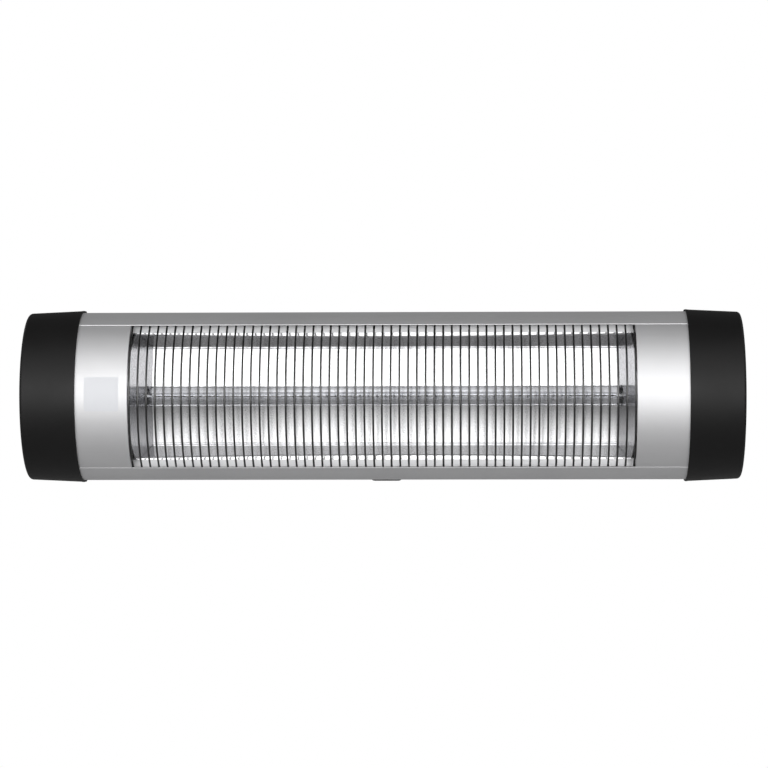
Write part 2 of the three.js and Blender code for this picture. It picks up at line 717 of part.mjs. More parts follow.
// The right cap also has a recess and hole for the switch, and a hole for the cable gland.
function switchedCap() {
  const [u, v] = SWITCH_PLACE;
  const [deep, high] = SWITCH_HOLE;
  const frame = SWITCH_FLANGE + FIT;
  const floor = CAP_END - SWITCH_RECESS;
  const pad = block(
    floor - CAP_END_WALL, CAP_FLOOR + 1,
    u - deep / 2 - frame - CAP_WALL, u + deep / 2 + frame + CAP_WALL,
    v - high / 2 - frame - CAP_WALL, v + high / 2 + frame + CAP_WALL,
  );
  const recess = block(
    floor, CAP_END + 1,
    u - deep / 2 - frame, u + deep / 2 + frame,
    v - high / 2 - frame, v + high / 2 + frame,
  );
  const hole = block(
    floor - CAP_WALL - CAP_END_WALL, floor + 1,
    u - deep / 2, u + deep / 2,
    v - high / 2, v + high / 2,
  );
  const glandX = CAP_END - GLAND_INBOARD;
  const inside = BODY_BACK - 2 * CAP_WALL;
  const outside = BODY_BACK + 2 * CAP_WALL;
  const gland = rodInY(inside, outside, GLAND_RADIUS + FIT, glandX, GLAND_HEIGHT);
  return endCap().add(pad).subtract(recess).subtract(hole).subtract(gland);
}

// A pan-head screw from the cap's end into a port.
function capScrew(place) {
  const seat = CAP_END - SCREW_HEAD + GAP;
  const top = CAP_END - GAP;
  const profile = [
    [BODY_END - SCREW_REACH, 0],
    [BODY_END - SCREW_REACH, SCREW_RADIUS],
    [seat, SCREW_RADIUS],
    [seat, SCREW_HEAD_RADIUS],
    [top - SCREW_CHAMFER, SCREW_HEAD_RADIUS],
    [top, SCREW_HEAD_RADIUS - SCREW_CHAMFER],
    [top, 0],
  ];
  return turned(profile, place, 10);
}

add(head, "end_plate_right", endPlate([LAMP_PLACE, LOWER_LEAD]), "sheetSteel");
add(head, "end_plate_left", endPlate([]), "sheetSteel", true);
add(head, "end_cap_right", switchedCap(), "blackPlastic");
add(head, "end_cap_left", endCap(), "blackPlastic", true);
const SCREW_NAMES = ["upper_back", "lower_back", "upper_front", "lower_front"];
PORT_PLACES.forEach((place, i) => {
  add(head, "cap_screw_right_" + SCREW_NAMES[i], capScrew(place), "zinc");
  add(head, "cap_screw_left_" + SCREW_NAMES[i], capScrew(place), "zinc", true);
});

// ---- Switch ---------------------------------------------------------------------------------

const SWITCH_FACE = CAP_END - SWITCH_RECESS + GAP; // underside of the bezel
const SWITCH_BACK = SWITCH_FACE - SWITCH_DEPTH;

// The switch's case, open at the bezel, with two blades at its back.
function switchBody() {
  const [u, v] = SWITCH_PLACE;
  const [deep, high] = SWITCH_HOLE;
  const halfDeep = deep / 2 - FIT;
  const halfHigh = high / 2 - FIT;
  const bezel = block(
    SWITCH_FACE, SWITCH_FACE + BEZEL,
    u - deep / 2 - SWITCH_FLANGE, u + deep / 2 + SWITCH_FLANGE,
    v - high / 2 - SWITCH_FLANGE, v + high / 2 + SWITCH_FLANGE,
  );
  const box = block(
    SWITCH_BACK, SWITCH_FACE + 1,
    u - halfDeep, u + halfDeep,
    v - halfHigh, v + halfHigh,
  );
  const well = block(
    SWITCH_FACE - SWITCH_WELL, SWITCH_FACE + BEZEL + 1,
    u - halfDeep + CASE_WALL, u + halfDeep - CASE_WALL,
    v - halfHigh + CASE_WALL, v + halfHigh - CASE_WALL,
  );
  let made = bezel.add(box).subtract(well);
  const [length, width, thickness] = BLADE;
  for (const at of [v - BLADES_APART / 2, v + BLADES_APART / 2]) {
    made = made.add(block(
      SWITCH_BACK - length, SWITCH_BACK + 1,
      u - width / 2, u + width / 2,
      at - thickness / 2, at + thickness / 2,
    ));
  }
  return made;
}

// The rocker is a shallow V, drawn level about its pivot and stored tipped to its off stop.
const ROCKER_PIVOT_X = SWITCH_FACE - BEZEL;

function rockerShape() {
  const [deep, high] = SWITCH_HOLE;
  const halfHigh = high / 2 - CASE_WALL - FIT - 2 * GAP;
  const halfDeep = deep / 2 - CASE_WALL - 2 * FIT;
  const proud = ROCKER_CROWN + halfHigh * Math.tan(ROCKER_TILT * DEG);
  const outline = new THREE.Shape([
    new THREE.Vector2(-halfHigh, proud),
    new THREE.Vector2(-halfHigh + ROCKER_TAPER, -ROCKER_SIDE),
    new THREE.Vector2(0, -ROCKER_KEEL),
    new THREE.Vector2(halfHigh - ROCKER_TAPER, -ROCKER_SIDE),
    new THREE.Vector2(halfHigh, proud),
    new THREE.Vector2(0, ROCKER_CROWN),
  ]);
  const options = { depth: halfDeep * 2, bevelEnabled: false };
  return new THREE.ExtrudeGeometry(outline, options).translate(0, 0, -halfDeep);
}

function addRocker() {
  const toX = new THREE.Matrix4().makeBasis(
    new THREE.Vector3(0, 0, 1),
    new THREE.Vector3(1, 0, 0),
    new THREE.Vector3(0, 1, 0),
  );
  const made = solid(rockerShape().applyMatrix4(toX));
  const mesh = add(head, "switch_rocker", made, "blackPlastic");
  mesh.position.set(ROCKER_PIVOT_X, -SWITCH_PLACE[0], SWITCH_PLACE[1]);
  mesh.rotation.y = -ROCKER_TILT * DEG;
}

add(head, "switch_body", switchBody(), "blackPlastic");
addRocker();

// ---- Wiring in the right cap ----------------------------------------------------------------

// What stands on the end plate starts here.
const SHELF = PLATE_OUT + GAP;

const BLOCK_PLACE = [19, -30];
const BLOCK_SIZE = [22, 34];
const BLOCK_TALL = 15;
const POLE_SCREW = [2.4, 6]; // radius and depth of the hole over each pole's screw
const WIRE_WAY = [4, 8.5]; // from the block's foot to the lower and upper side of a wire's hole
const WIRE_WAY_HALF = 2.2;
const WIRE_WAY_DEEP = 7;
const POLE_GROOVE = [1.2, 4]; // width and depth of the grooves between the poles
const CUTOUT_PLACE = [22, 30];
const CUTOUT_FLANGE = [9.5, 2]; // radius and thickness
const CUTOUT_CUP = [8, 10]; // radius and height
const CUTOUT_BLADE = [7, 6, 0.8];
const CUTOUT_BLADES_APART = 8;
const EARTH_PLACE = [44, 4];
const EARTH_WASHER = [4.6, 1];
const EARTH_HEAD = [3.6, 3.6];

// Three poles side by side, each with a screw on top and a way through for the wires.
function terminalBlock() {
  const [u, v] = BLOCK_PLACE;
  const [deep, high] = BLOCK_SIZE;
  const top = SHELF + BLOCK_TALL;
  const side = deep / 2;
  const pitch = high / 3;
  const [wayLow, wayHigh] = WIRE_WAY.map((x) => SHELF + x);
  let made = block(SHELF, top, u - side, u + side, v - high / 2, v + high / 2);
  for (const at of [v - pitch, v, v + pitch]) {
    const [low, high] = [at - WIRE_WAY_HALF, at + WIRE_WAY_HALF];
    made = made
      .subtract(rod(top - POLE_SCREW[1], top + 1, POLE_SCREW[0], [u, at], 8))
      .subtract(block(wayLow, wayHigh, u - deep, u - side + WIRE_WAY_DEEP, low, high))
      .subtract(block(wayLow, wayHigh, u + side - WIRE_WAY_DEEP, u + deep, low, high));
  }
  const [wide, down] = POLE_GROOVE;
  for (const at of [v - pitch / 2, v + pitch / 2]) {
    const groove = block(top - down, top + 1, u - deep, u + deep, at - wide / 2, at + wide / 2);
    made = made.subtract(groove);
  }
  return made;
}

// A disc thermostat: a ceramic cup with a flange and two blades.
function thermalCutout() {
  const [flange, thick] = CUTOUT_FLANGE;
  const [cup, tall] = CUTOUT_CUP;
  const top = SHELF + tall;
  const step = SHELF + thick;
  const profile = [[SHELF, 0], [SHELF, flange], [step, flange], [step, cup], [top, cup], [top, 0]];
  let made = turned(profile, CUTOUT_PLACE, 20);
  const [u, v] = CUTOUT_PLACE;
  const [length, width, thickness] = CUTOUT_BLADE;
  for (const at of [u - CUTOUT_BLADES_APART / 2, u + CUTOUT_BLADES_APART / 2]) {
    made = made.add(block(
      top - 1, top + length,
      at - thickness / 2, at + thickness / 2,
      v - width / 2, v + width / 2,
    ));
  }
  return made;
}

function earthScrew() {
  const [washer, thick] = EARTH_WASHER;
  const [radius, tall] = EARTH_HEAD;
  const [step, top] = [SHELF + thick, SHELF + tall];
  const profile = [[SHELF, 0], [SHELF, washer], [step, washer], [step, radius], [top, radius], [top, 0]];
  return turned(profile, EARTH_PLACE, 12);
}

add(head, "terminal_block", terminalBlock(), "whitePlastic");
add(head, "thermal_cutout", thermalCutout(), "ceramic");
add(head, "earth_screw", earthScrew(), "zinc");

// The gland: a hexagon and a domed nut outside, and a lock nut inside the cap's back wall.
const GLAND_X = CAP_END - GLAND_INBOARD;

function capBackOutside(x) {
  const slope = CAP_DRAFT / (CAP_LENGTH - CAP_CORNER);
  return BODY_BACK + RIM_LIP - slope * (x - CAP_RIM);
}

function cableGland() {
  const seat = capBackOutside(GLAND_X - GLAND_HEX) + GAP;
  const inner = seat - CAP_WALL - GLAND_INSIDE;
  const [from, shoulder, end] = GLAND_REACH.map((y) => seat + y);
  const rim = GLAND_COLLAR - (end - shoulder) * 0.8;
  const dome = [[from, 0], [from, GLAND_COLLAR], [shoulder, GLAND_COLLAR], [end, rim], [end, 0]];
  return rodInY(seat, from + 1, GLAND_HEX, GLAND_X, GLAND_HEIGHT, 6)
    .add(turnedInY(dome, GLAND_X, GLAND_HEIGHT))
    .add(rodInY(inner, seat + 1, GLAND_RADIUS, GLAND_X, GLAND_HEIGHT))
    .subtract(rodInY(inner - 1, end + 1, GLAND_BORE, GLAND_X, GLAND_HEIGHT, 10));
}

const GLAND_NUT_THICKNESS = 4;

function glandNut() {
  const top = capBackOutside(GLAND_X + GLAND_HEX) - CAP_WALL - GAP - FIT;
  const low = top - GLAND_NUT_THICKNESS;
  const bore = GLAND_RADIUS + GAP;
  const ring = [[low, bore], [low, GLAND_HEX], [top, GLAND_HEX], [top, bore], [low, bore]];
  return turnedInY(ring, GLAND_X, GLAND_HEIGHT, 12);
}

add(head, "cable_gland", cableGland(), "blackPlastic");
add(head, "gland_nut", glandNut(), "blackPlastic");

// Leads. Each runs through hand-placed points [x, depth, height] from terminal to terminal.
const LEAD_RADIUS = 1.5;
const WAY = SHELF + (WIRE_WAY[0] + WIRE_WAY[1]) / 2; // x of the block's wire holes
const BLADE_TIP = SHELF + CUTOUT_CUP[1] + 5; // x where leads meet the thermostat's blades
const LEAD_START = LAMP_HALF_LENGTH + CERAMIC_LENGTH + 2 * GAP;
const BLOCK_NEAR = BLOCK_PLACE[0] - BLOCK_SIZE[0] / 2 - GAP;
const BLOCK_FAR = BLOCK_PLACE[0] + BLOCK_SIZE[0] / 2 + GAP;
const POLE_PITCH = BLOCK_SIZE[1] / 3;
const CUTOUT_LEADS_APART = CUTOUT_BLADES_APART + CUTOUT_BLADE[2] + 2 * (GAP + LEAD_RADIUS);

function leadRight() {
  const pole = BLOCK_PLACE[1];
  return cable([
    [LEAD_START, LAMP_DEPTH, 0],
    [PLATE_IN, LAMP_DEPTH, 0],
    [SHELF + 7, LAMP_DEPTH - 6, -6],
    [WAY, BLOCK_NEAR - 8, pole + 6],
    [WAY, BLOCK_NEAR - 4, pole],
    [WAY, BLOCK_NEAR, pole],
  ], LEAD_RADIUS, 20);
}

// The far end's lead turns down behind the cheek and runs under the trough to the right cap.
function leadLeft() {
  const [u, v] = LOWER_LEAD;
  const pole = BLOCK_PLACE[1] - POLE_PITCH;
  return cable([
    [-LEAD_START, LAMP_DEPTH, 0],
    [-LEAD_START - 5, LAMP_DEPTH, 0],
    [-LEAD_START - 11, LAMP_DEPTH - 1, -10],
    [-LEAD_START - 10, LAMP_DEPTH / 2, v + 24],
    [-LEAD_START + 2, u, v + 2],
    [-LEAD_START + 32, u, v],
    [0, u, v],
    [LEAD_START - 20, u, v],
    [PLATE_OUT, u, v],
    [WAY, u, v + 12],
    [WAY, BLOCK_NEAR - 4, pole],
    [WAY, BLOCK_NEAR, pole],
  ], LEAD_RADIUS, 60);
}

// A lead from the block's upper pole to the thermostat.
function cutoutLead() {
  const pole = BLOCK_PLACE[1] + POLE_PITCH;
  const [u, v] = CUTOUT_PLACE;
  return cable([
    [WAY, BLOCK_FAR, pole],
    [WAY, BLOCK_FAR + 4, pole],
    [SHELF + 12, BLOCK_FAR + 5, v - 24],
    [BLADE_TIP, u + 10, v - 6],
    [BLADE_TIP, u + CUTOUT_LEADS_APART / 2, v + 1],
  ], LEAD_RADIUS, 14);
}

// A lead from the thermostat to the switch's upper blade.
function switchLead() {
  const [u, v] = CUTOUT_PLACE;
  const bladeX = SWITCH_BACK - 4;
  const end = SWITCH_PLACE[1] + (BLADES_APART + BLADE[2]) / 2 + GAP + LEAD_RADIUS;
  return cable([
    [BLADE_TIP, u - CUTOUT_LEADS_APART / 2, v],
    [BLADE_TIP + 2, u - 10, v - 6],
    [bladeX, SWITCH_PLACE[0], end + 2.5],
    [bladeX, SWITCH_PLACE[0], end],
  ], LEAD_RADIUS, 10);
}

// A lead from the block's middle pole to the screw that earths the plate.
function earthLead() {
  const pole = BLOCK_PLACE[1];
  const [u, v] = EARTH_PLACE;
  return cable([
    [WAY, BLOCK_FAR, pole],
    [WAY, BLOCK_FAR + 6, pole],
    [SHELF + 5, u + 2, v - 20],
    [SHELF + 2, u, v - 5 - LEAD_RADIUS],
  ], LEAD_RADIUS, 12);
}

add(head, "lamp_lead_right", leadRight(), "brownLead");
add(head, "lamp_lead_left", leadLeft(), "brownLead");
add(head, "cutout_lead", cutoutLead(), "brownLead");
add(head, "switch_lead", switchLead(), "brownLead");
add(head, "earth_lead", earthLead(), "earthLead");

// ---- Brackets -------------------------------------------------------------------------------

const WALL_EAR_OUT = WALL_PLATE[0] / 2;
const WALL_EAR_IN = WALL_EAR_OUT - STEEL;
const TILT_EAR_OUT = WALL_EAR_IN - FIT;
const TILT_EAR_IN = TILT_EAR_OUT - STEEL;
const PIVOT_HOLE = PIVOT_RADIUS + FIT;

// An ear drawn from the wall's plane out to the pivot, with a round end and the pivot hole.
function ear(points, xFrom, xTo) {
  const hole = arc([PIVOT_OUT, 0], PIVOT_HOLE, 0, 360, 30).slice(0, -1);
  return alongX(points, xFrom, xTo, [hole]);
}

function wallBracket() {
  const [wide, high] = WALL_PLATE;
  const top = WALL_PLATE_LOW + high;
  const [out, up] = EAR_ROOT;
  const side = [
    new THREE.Vector2(0, -WALL_EAR - up),
    new THREE.Vector2(STEEL + out, -WALL_EAR),
    ...arc([PIVOT_OUT, 0], WALL_EAR, -90, 90, 22.5),
    new THREE.Vector2(STEEL + out, WALL_EAR),
    new THREE.Vector2(0, WALL_EAR + up),
  ];
  let made = block(-wide / 2, wide / 2, 0, STEEL, WALL_PLATE_LOW, top)
    .add(ear(side, WALL_EAR_IN, WALL_EAR_OUT))
    .add(ear(side, -WALL_EAR_OUT, -WALL_EAR_IN));
  for (const z of [WALL_PLATE_LOW + WALL_HOLE_INSET, top - WALL_HOLE_INSET]) {
    made = made.subtract(rodInY(-STEEL - 1, 1, WALL_HOLE_RADIUS, 0, z));
  }
  return made;
}

// The tilting half: a plate bolted to the body's back, with ears inside the wall bracket's ears.
function tiltBracket() {
  const plateOut = PIVOT_OUT + PIVOT_TO_BACK - GAP;
  const plateIn = plateOut - STEEL;
  const [out, up] = EAR_ROOT;
  const side = [
    new THREE.Vector2(plateOut, TILT_EAR + up),
    new THREE.Vector2(plateIn - out, TILT_EAR),
    ...arc([PIVOT_OUT, 0], TILT_EAR, 90, 270, 22.5),
    new THREE.Vector2(plateIn - out, -TILT_EAR),
    new THREE.Vector2(plateOut, -TILT_EAR - up),
  ];
  const half = SLOT_HEIGHT + BOLT_TO_EDGE;
  let made = block(-TILT_EAR_OUT, TILT_EAR_OUT, plateIn, plateOut, -half, half)
    .add(ear(side, TILT_EAR_IN, TILT_EAR_OUT))
    .add(ear(side, -TILT_EAR_OUT, -TILT_EAR_IN));
  for (const z of [SLOT_HEIGHT, -SLOT_HEIGHT]) {
    made = made.subtract(rodInY(-plateOut - 1, -plateIn + 1, BOLT_RADIUS + FIT, 0, z));
  }
  return made;
}

const PIVOT_PLACE = [PIVOT_OUT, 0];
const WASHER_IN = WALL_EAR_OUT + GAP;
const WASHER_OUT = WASHER_IN + WASHER[1];
const NUT_IN = WASHER_OUT + GAP;
const NUT_OUT = NUT_IN + PIVOT_NUT;

function pivotBolt() {
  const shaft = rod(-NUT_IN - 1, NUT_OUT + PIVOT_TIP, PIVOT_RADIUS, PIVOT_PLACE);
  return shaft.add(rod(-NUT_IN - PIVOT_HEAD, -NUT_IN, PIVOT_HEX, PIVOT_PLACE, 6));
}

function pivotNut() {
  const bore = rod(NUT_IN - 1, NUT_OUT + 1, PIVOT_RADIUS + GAP, PIVOT_PLACE);
  return rod(NUT_IN, NUT_OUT, PIVOT_HEX, PIVOT_PLACE, 6).subtract(bore);
}

function washer(xFrom, xTo) {
  const bore = PIVOT_RADIUS + GAP;
  const ring = [[xFrom, bore], [xFrom, WASHER[0]], [xTo, WASHER[0]], [xTo, bore], [xFrom, bore]];
  return turned(ring, PIVOT_PLACE, 12);
}

add(heater, "wall_bracket", wallBracket(), "darkSteel");
add(heater, "pivot_bolt", pivotBolt(), "zinc");
add(heater, "pivot_washer_right", washer(WASHER_IN, WASHER_OUT), "zinc");
add(heater, "pivot_washer_left", washer(-WASHER_OUT, -WASHER_IN), "zinc");
add(heater, "pivot_nut", pivotNut(), "zinc");
add(heater, "tilt_bracket", tiltBracket(), "darkSteel");

// Bolts through the tilt bracket's plate into nuts that slide in the housing's back slots.
function bracketBolt(z) {
  const plateIn = PIVOT_OUT + PIVOT_TO_BACK - GAP - STEEL;
  const tip = AXIS_OUT - INNER_BACK + SLOT_ROOM[1] - GAP;
  const seat = -plateIn + GAP;
  const hexagon = rodInY(seat, seat + BOLT_HEAD[1], BOLT_HEAD[0], 0, z, 6);
  return rodInY(-tip, seat + 1, BOLT_RADIUS, 0, z, 12).add(hexagon);
}

function slotNut(z) {
  const low = AXIS_OUT - INNER_BACK + GAP;
  const half = SLOT_ROOM[0] / 2 - FIT;
  const out = low + SLOT_ROOM[1] - 3 * GAP;
  const plain = block(-NUT_LENGTH / 2, NUT_LENGTH / 2, low, out, z - half, z + half);
  return plain.subtract(rodInY(-out - 1, -low + 1, BOLT_RADIUS + GAP, 0, z, 12));
}

add(heater, "bracket_bolt_upper", bracketBolt(SLOT_HEIGHT), "zinc");
add(heater, "bracket_bolt_lower", bracketBolt(-SLOT_HEIGHT), "zinc");
add(heater, "slot_nut_upper", slotNut(SLOT_HEIGHT), "zinc");
add(heater, "slot_nut_lower", slotNut(-SLOT_HEIGHT), "zinc");

export default heater;
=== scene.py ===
import math

import bmesh
import bpy
import numpy as np
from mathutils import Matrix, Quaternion, Vector
from mathutils.geometry import tessellate_polygon


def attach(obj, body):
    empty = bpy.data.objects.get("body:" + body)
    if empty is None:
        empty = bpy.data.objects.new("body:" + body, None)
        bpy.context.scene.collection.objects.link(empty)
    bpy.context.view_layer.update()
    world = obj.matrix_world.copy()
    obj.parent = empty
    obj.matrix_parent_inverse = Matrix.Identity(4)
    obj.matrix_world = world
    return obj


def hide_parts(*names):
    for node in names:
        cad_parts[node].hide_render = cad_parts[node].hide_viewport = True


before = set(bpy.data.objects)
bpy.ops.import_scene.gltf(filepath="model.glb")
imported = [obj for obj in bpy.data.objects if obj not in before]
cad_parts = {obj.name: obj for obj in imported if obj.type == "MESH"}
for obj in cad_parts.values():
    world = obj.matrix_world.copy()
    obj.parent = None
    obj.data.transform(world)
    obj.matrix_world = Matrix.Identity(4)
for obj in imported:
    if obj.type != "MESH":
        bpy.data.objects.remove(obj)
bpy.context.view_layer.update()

# An electric bar heater for a wall. Pieces are drawn in millimetres as (x, depth, height): depth
# runs forwards from the body's axis, height up from it, and x to the viewer's right.
MM = 0.001
AXIS_OUT = 92.0  # wall to the axis of the body's half round

# ---- Camera ---------------------------------------------------------------------------------
# Level, in front of the opening and a little to the right, with a long lens, so that one pixel is
# about one millimetre on the plane of the body's axis.
CAMERA_PLACE = Vector((0.085, -3.166, 0.0125))
CAMERA_AIM = Vector((0.0, -AXIS_OUT * MM, 0.0118))
CAMERA_ROLL = math.radians(-0.127)
camera = bpy.data.objects.new("camera", bpy.data.cameras.new("camera"))
camera.data.sensor_width = 36.0
camera.data.lens = 144.6
camera.data.clip_end = 60.0
camera.location = CAMERA_PLACE
facing = (CAMERA_AIM - CAMERA_PLACE).to_track_quat("-Z", "Y")
camera.rotation_euler = (facing @ Quaternion((0, 0, 1), CAMERA_ROLL)).to_euler()
scene = bpy.context.scene
scene.collection.objects.link(camera)
scene.camera = camera
scene.view_settings.view_transform = "Standard"
scene.cycles.glossy_bounces = 8


# ---- Studio ---------------------------------------------------------------------------------
# One wide soft light in front of the heater, full just above the horizon, with a long fade below
# and a weaker halo above. The room is dim, with a weak light either side behind. The floor is a
# round sheet that fades out into the white surroundings, and it isn't seen from underneath.
def node(tree, kind, inputs=None, **settings):
    """Adds a shader node: settings are its fields, inputs are values, or sockets to link."""
    made = tree.nodes.new("ShaderNode" + kind)
    for key, value in settings.items():
        setattr(made, key, value)
    for key, value in (inputs or {}).items():
        if isinstance(value, bpy.types.NodeSocket):
            tree.links.new(value, made.inputs[key])
        else:
            made.inputs[key].default_value = value
    return made


def ramped(tree, value, low, high, to_low=0.0, to_high=1.0):
    """Smooth step of a value from one range to another."""
    return node(tree, "MapRange", {0: value, 1: low, 2: high, 3: to_low, 4: to_high},
                interpolation_type="SMOOTHSTEP").outputs[0]


def product(tree, a, b):
    return node(tree, "Math", {0: a, 1: b}, operation="MULTIPLY").outputs[0]


def own_place(tree):
    """The shaded point in the piece's own space."""
    return node(tree, "TexCoord").outputs["Object"]


def noise(tree, place, scale, detail=2.0):
    return node(tree, "TexNoise", {"Vector": place, "Scale": scale, "Detail": detail}).outputs[0]


WHITE = (1, 1, 1, 1)
# Strengths, and the parts of a direction, from -1 to 1, over which each light fades in.
SOFTBOX, HALO, BEHIND, ROOM = 2.1, 0.8, 0.45, 0.1
SOFTBOX_AHEAD, SOFTBOX_FOOT, SOFTBOX_TOP = (-0.5, -0.8), (-0.4, 0.04), (0.4, 0.28)
HALO_AHEAD, HALO_FOOT, HALO_TOP = (0.1, -0.6), (-0.2, 0.3), (1.0, 0.8)
BEHIND_ASIDE, BEHIND_AWAY = (0.35, 0.65), (0.25, 0.5)

world = bpy.data.worlds.new("studio")
scene.world = world
world.use_nodes = True
tree = world.node_tree
tree.nodes.clear()
direction = node(tree, "TexCoord").outputs["Generated"]
side, away, up = node(tree, "SeparateXYZ", {0: direction}).outputs
aside = node(tree, "Math", {0: side}, operation="ABSOLUTE").outputs[0]
front = product(tree, ramped(tree, away, *SOFTBOX_AHEAD), ramped(tree, up, *SOFTBOX_FOOT))
softbox = product(tree, front, ramped(tree, up, *SOFTBOX_TOP))
front = product(tree, ramped(tree, away, *HALO_AHEAD), ramped(tree, up, *HALO_FOOT))
halo = product(tree, front, ramped(tree, up, *HALO_TOP))
behind = product(tree, ramped(tree, aside, *BEHIND_ASIDE), ramped(tree, away, *BEHIND_AWAY))
light = ROOM
for part, strength in ((softbox, SOFTBOX), (halo, HALO), (behind, BEHIND)):
    light = node(tree, "Math", {0: part, 1: strength, 2: light},
                 operation="MULTIPLY_ADD").outputs[0]
seen = node(tree, "LightPath").outputs["Is Camera Ray"]
lit = node(tree, "Background", {"Strength": light, "Color": WHITE})
plain = node(tree, "Background", {"Strength": 1.0, "Color": WHITE})
both = node(tree, "MixShader", {0: seen, 1: lit.outputs[0], 2: plain.outputs[0]})
node(tree, "OutputWorld", {"Surface": both.outputs[0]})

FLOOR_LEVEL = -0.6
FLOOR_RADIUS = 1.9
FLOOR_CENTRE = -0.1
FADE_CENTRE = -0.2
FADE_FROM, FADE_TO = 0.3, 1.4
turn = np.linspace(0, 2 * np.pi, 97)[:-1]
floor_mesh = bpy.data.meshes.new("floor")
floor_mesh.from_pydata(
    np.column_stack([FLOOR_RADIUS * np.cos(turn), FLOOR_RADIUS * np.sin(turn) + FLOOR_CENTRE,
                     np.full(turn.size, FLOOR_LEVEL)]).tolist(), [], [list(range(turn.size))])
floor = bpy.data.objects.new("floor", floor_mesh)
scene.collection.objects.link(floor)


SHADER = "Principled BSDF"


def finish(name, color, roughness, metallic=0.0, **sockets):
    """A material with one Principled shader; what is the same all over is set on its sockets."""
    made = bpy.data.materials.new(name)
    made.use_nodes = True
    values = {"Base Color": (*color, 1.0), "Roughness": roughness, "Metallic": metallic, **sockets}
    for key, value in values.items():
        made.node_tree.nodes[SHADER].inputs[key.replace("_", " ")].default_value = value
    return made


floor_paint = finish("floor paint", (0.6, 0.6, 0.6), 0.7)
tree = floor_paint.node_tree
place = own_place(tree)
speckle = noise(tree, place, 40.0)
rough = node(tree, "MapRange", {0: speckle, 3: 0.55, 4: 0.75}).outputs[0]
tree.links.new(rough, tree.nodes[SHADER].inputs["Roughness"])
flat = node(tree, "Mapping", {0: place, 1: (0, -FADE_CENTRE, 0), 3: (1, 1, 0)}).outputs[0]
reach = node(tree, "VectorMath", {0: flat}, operation="LENGTH").outputs["Value"]
fading = product(tree, ramped(tree, reach, FADE_FROM, FADE_TO, 0.5, 1.0),
                 node(tree, "LightPath").outputs["Is Camera Ray"])
white = node(tree, "Emission", {"Strength": 1.0, "Color": WHITE})
faded = node(tree, "MixShader", {0: fading, 1: tree.nodes[SHADER].outputs[0],
                                 2: white.outputs[0]})
from_below = node(tree, "NewGeometry").outputs["Backfacing"]
through = node(tree, "BsdfTransparent")
one_sided = node(tree, "MixShader", {0: from_below, 1: faded.outputs[0], 2: through.outputs[0]})
tree.links.new(one_sided.outputs[0], tree.nodes["Material Output"].inputs["Surface"])
floor_mesh.materials.append(floor_paint)


# ---- Rear housing ---------------------------------------------------------------------------
# The body is one satin anodised aluminium extrusion: a half round in front of a flat back, open
# in front between two chamfered lips. Behind each lip a flat ledge keeps guard and covers in. Four
# screw ports take the caps' screws, and two T-slots in the back take the bracket's nuts.
BODY_RADIUS = 83.5
BODY_BACK = 22.0
BACK_CORNER = 8.0
WALL = 2.2
LIP_HEIGHT = 69.8
LIP_EASE = 0.7
BODY_END = 304.9
LEDGE_DEPTH = 32.0
LEDGE = 1.8
LEDGE_LOW = 62.5
INNER_RADIUS = BODY_RADIUS - WALL
GROOVE_RADIUS = INNER_RADIUS - 3.8
INNER_BACK = BODY_BACK - WALL
PORTS = [(-11.0, 58.0), (10.0, 66.0)]
PORT_PLACES = PORTS + [(u, -v) for u, v in PORTS]
PORT_RADIUS = 4.5
PORT_BORE = 2.3
SLOT_HEIGHT = 25.0
SLOT_MOUTH, SLOT_ROOM, SLOT_DEEP, SLOT_WALL = 3.3, 5.6, 4.6, 1.4


def arc(radius, start, end, centre=(0.0, 0.0), step=1.5):
    """Centre plus radius times the cosine and sine of evenly spaced angles, ends included."""
    count = max(3, int(abs(end - start) / step + 0.5) + 1)
    angle = np.radians(np.linspace(start, end, count))
    return np.column_stack([np.cos(angle), np.sin(angle)]) * radius + centre


def below(points):
    """The same outline under the axis, walked the other way."""
    return np.asarray(points)[::-1] * [1, -1]


def angle_at(height, radius):
    """The angle at which a circle about the axis reaches a height: the arc sine of their ratio."""
    return math.degrees(math.asin(height / radius))


def angle_back_to(depth, radius):
    """The angle at which such a circle comes back to a depth: the arc cosine of their ratio."""
    return math.degrees(math.acos(depth / radius))


def stood(x, outline):
    """An outline's points with their place along x put first."""
    return np.column_stack([np.full(len(outline), x), outline])


def drawn(loops, start, end, along="x"):
    """Points and faces of a section drawn out: each loop gives two rings of points with quads
    between them, and the two ends are the loops' own area. A section drawn along x is given as
    (depth, height), one drawn along depth as (x, height), and one drawn up as (x, depth)."""
    order = {"x": [0, 1, 2], "depth": [1, 0, 2], "height": [1, 2, 0]}[along]
    points, faces, near, far = [], [], [], []
    for loop in loops:
        n, base = len(loop), 2 * len(near)
        points += [stood(start, loop), stood(end, loop)]
        i = base + np.arange(n)
        j = base + (np.arange(n) + 1) % n
        faces += np.column_stack([i, j, j + n, i + n]).tolist()
        near += i.tolist()
        far += (i + n).tolist()
    if len(loops) == 1:
        ends = [range(len(near))]
    else:
        ends = tessellate_polygon([[Vector((*p, 0.0)) for p in loop] for loop in loops])
    for end_face in ends:
        faces.append([near[k] for k in end_face][::-1])
        faces.append([far[k] for k in end_face])
    return np.vstack(points)[:, order], faces


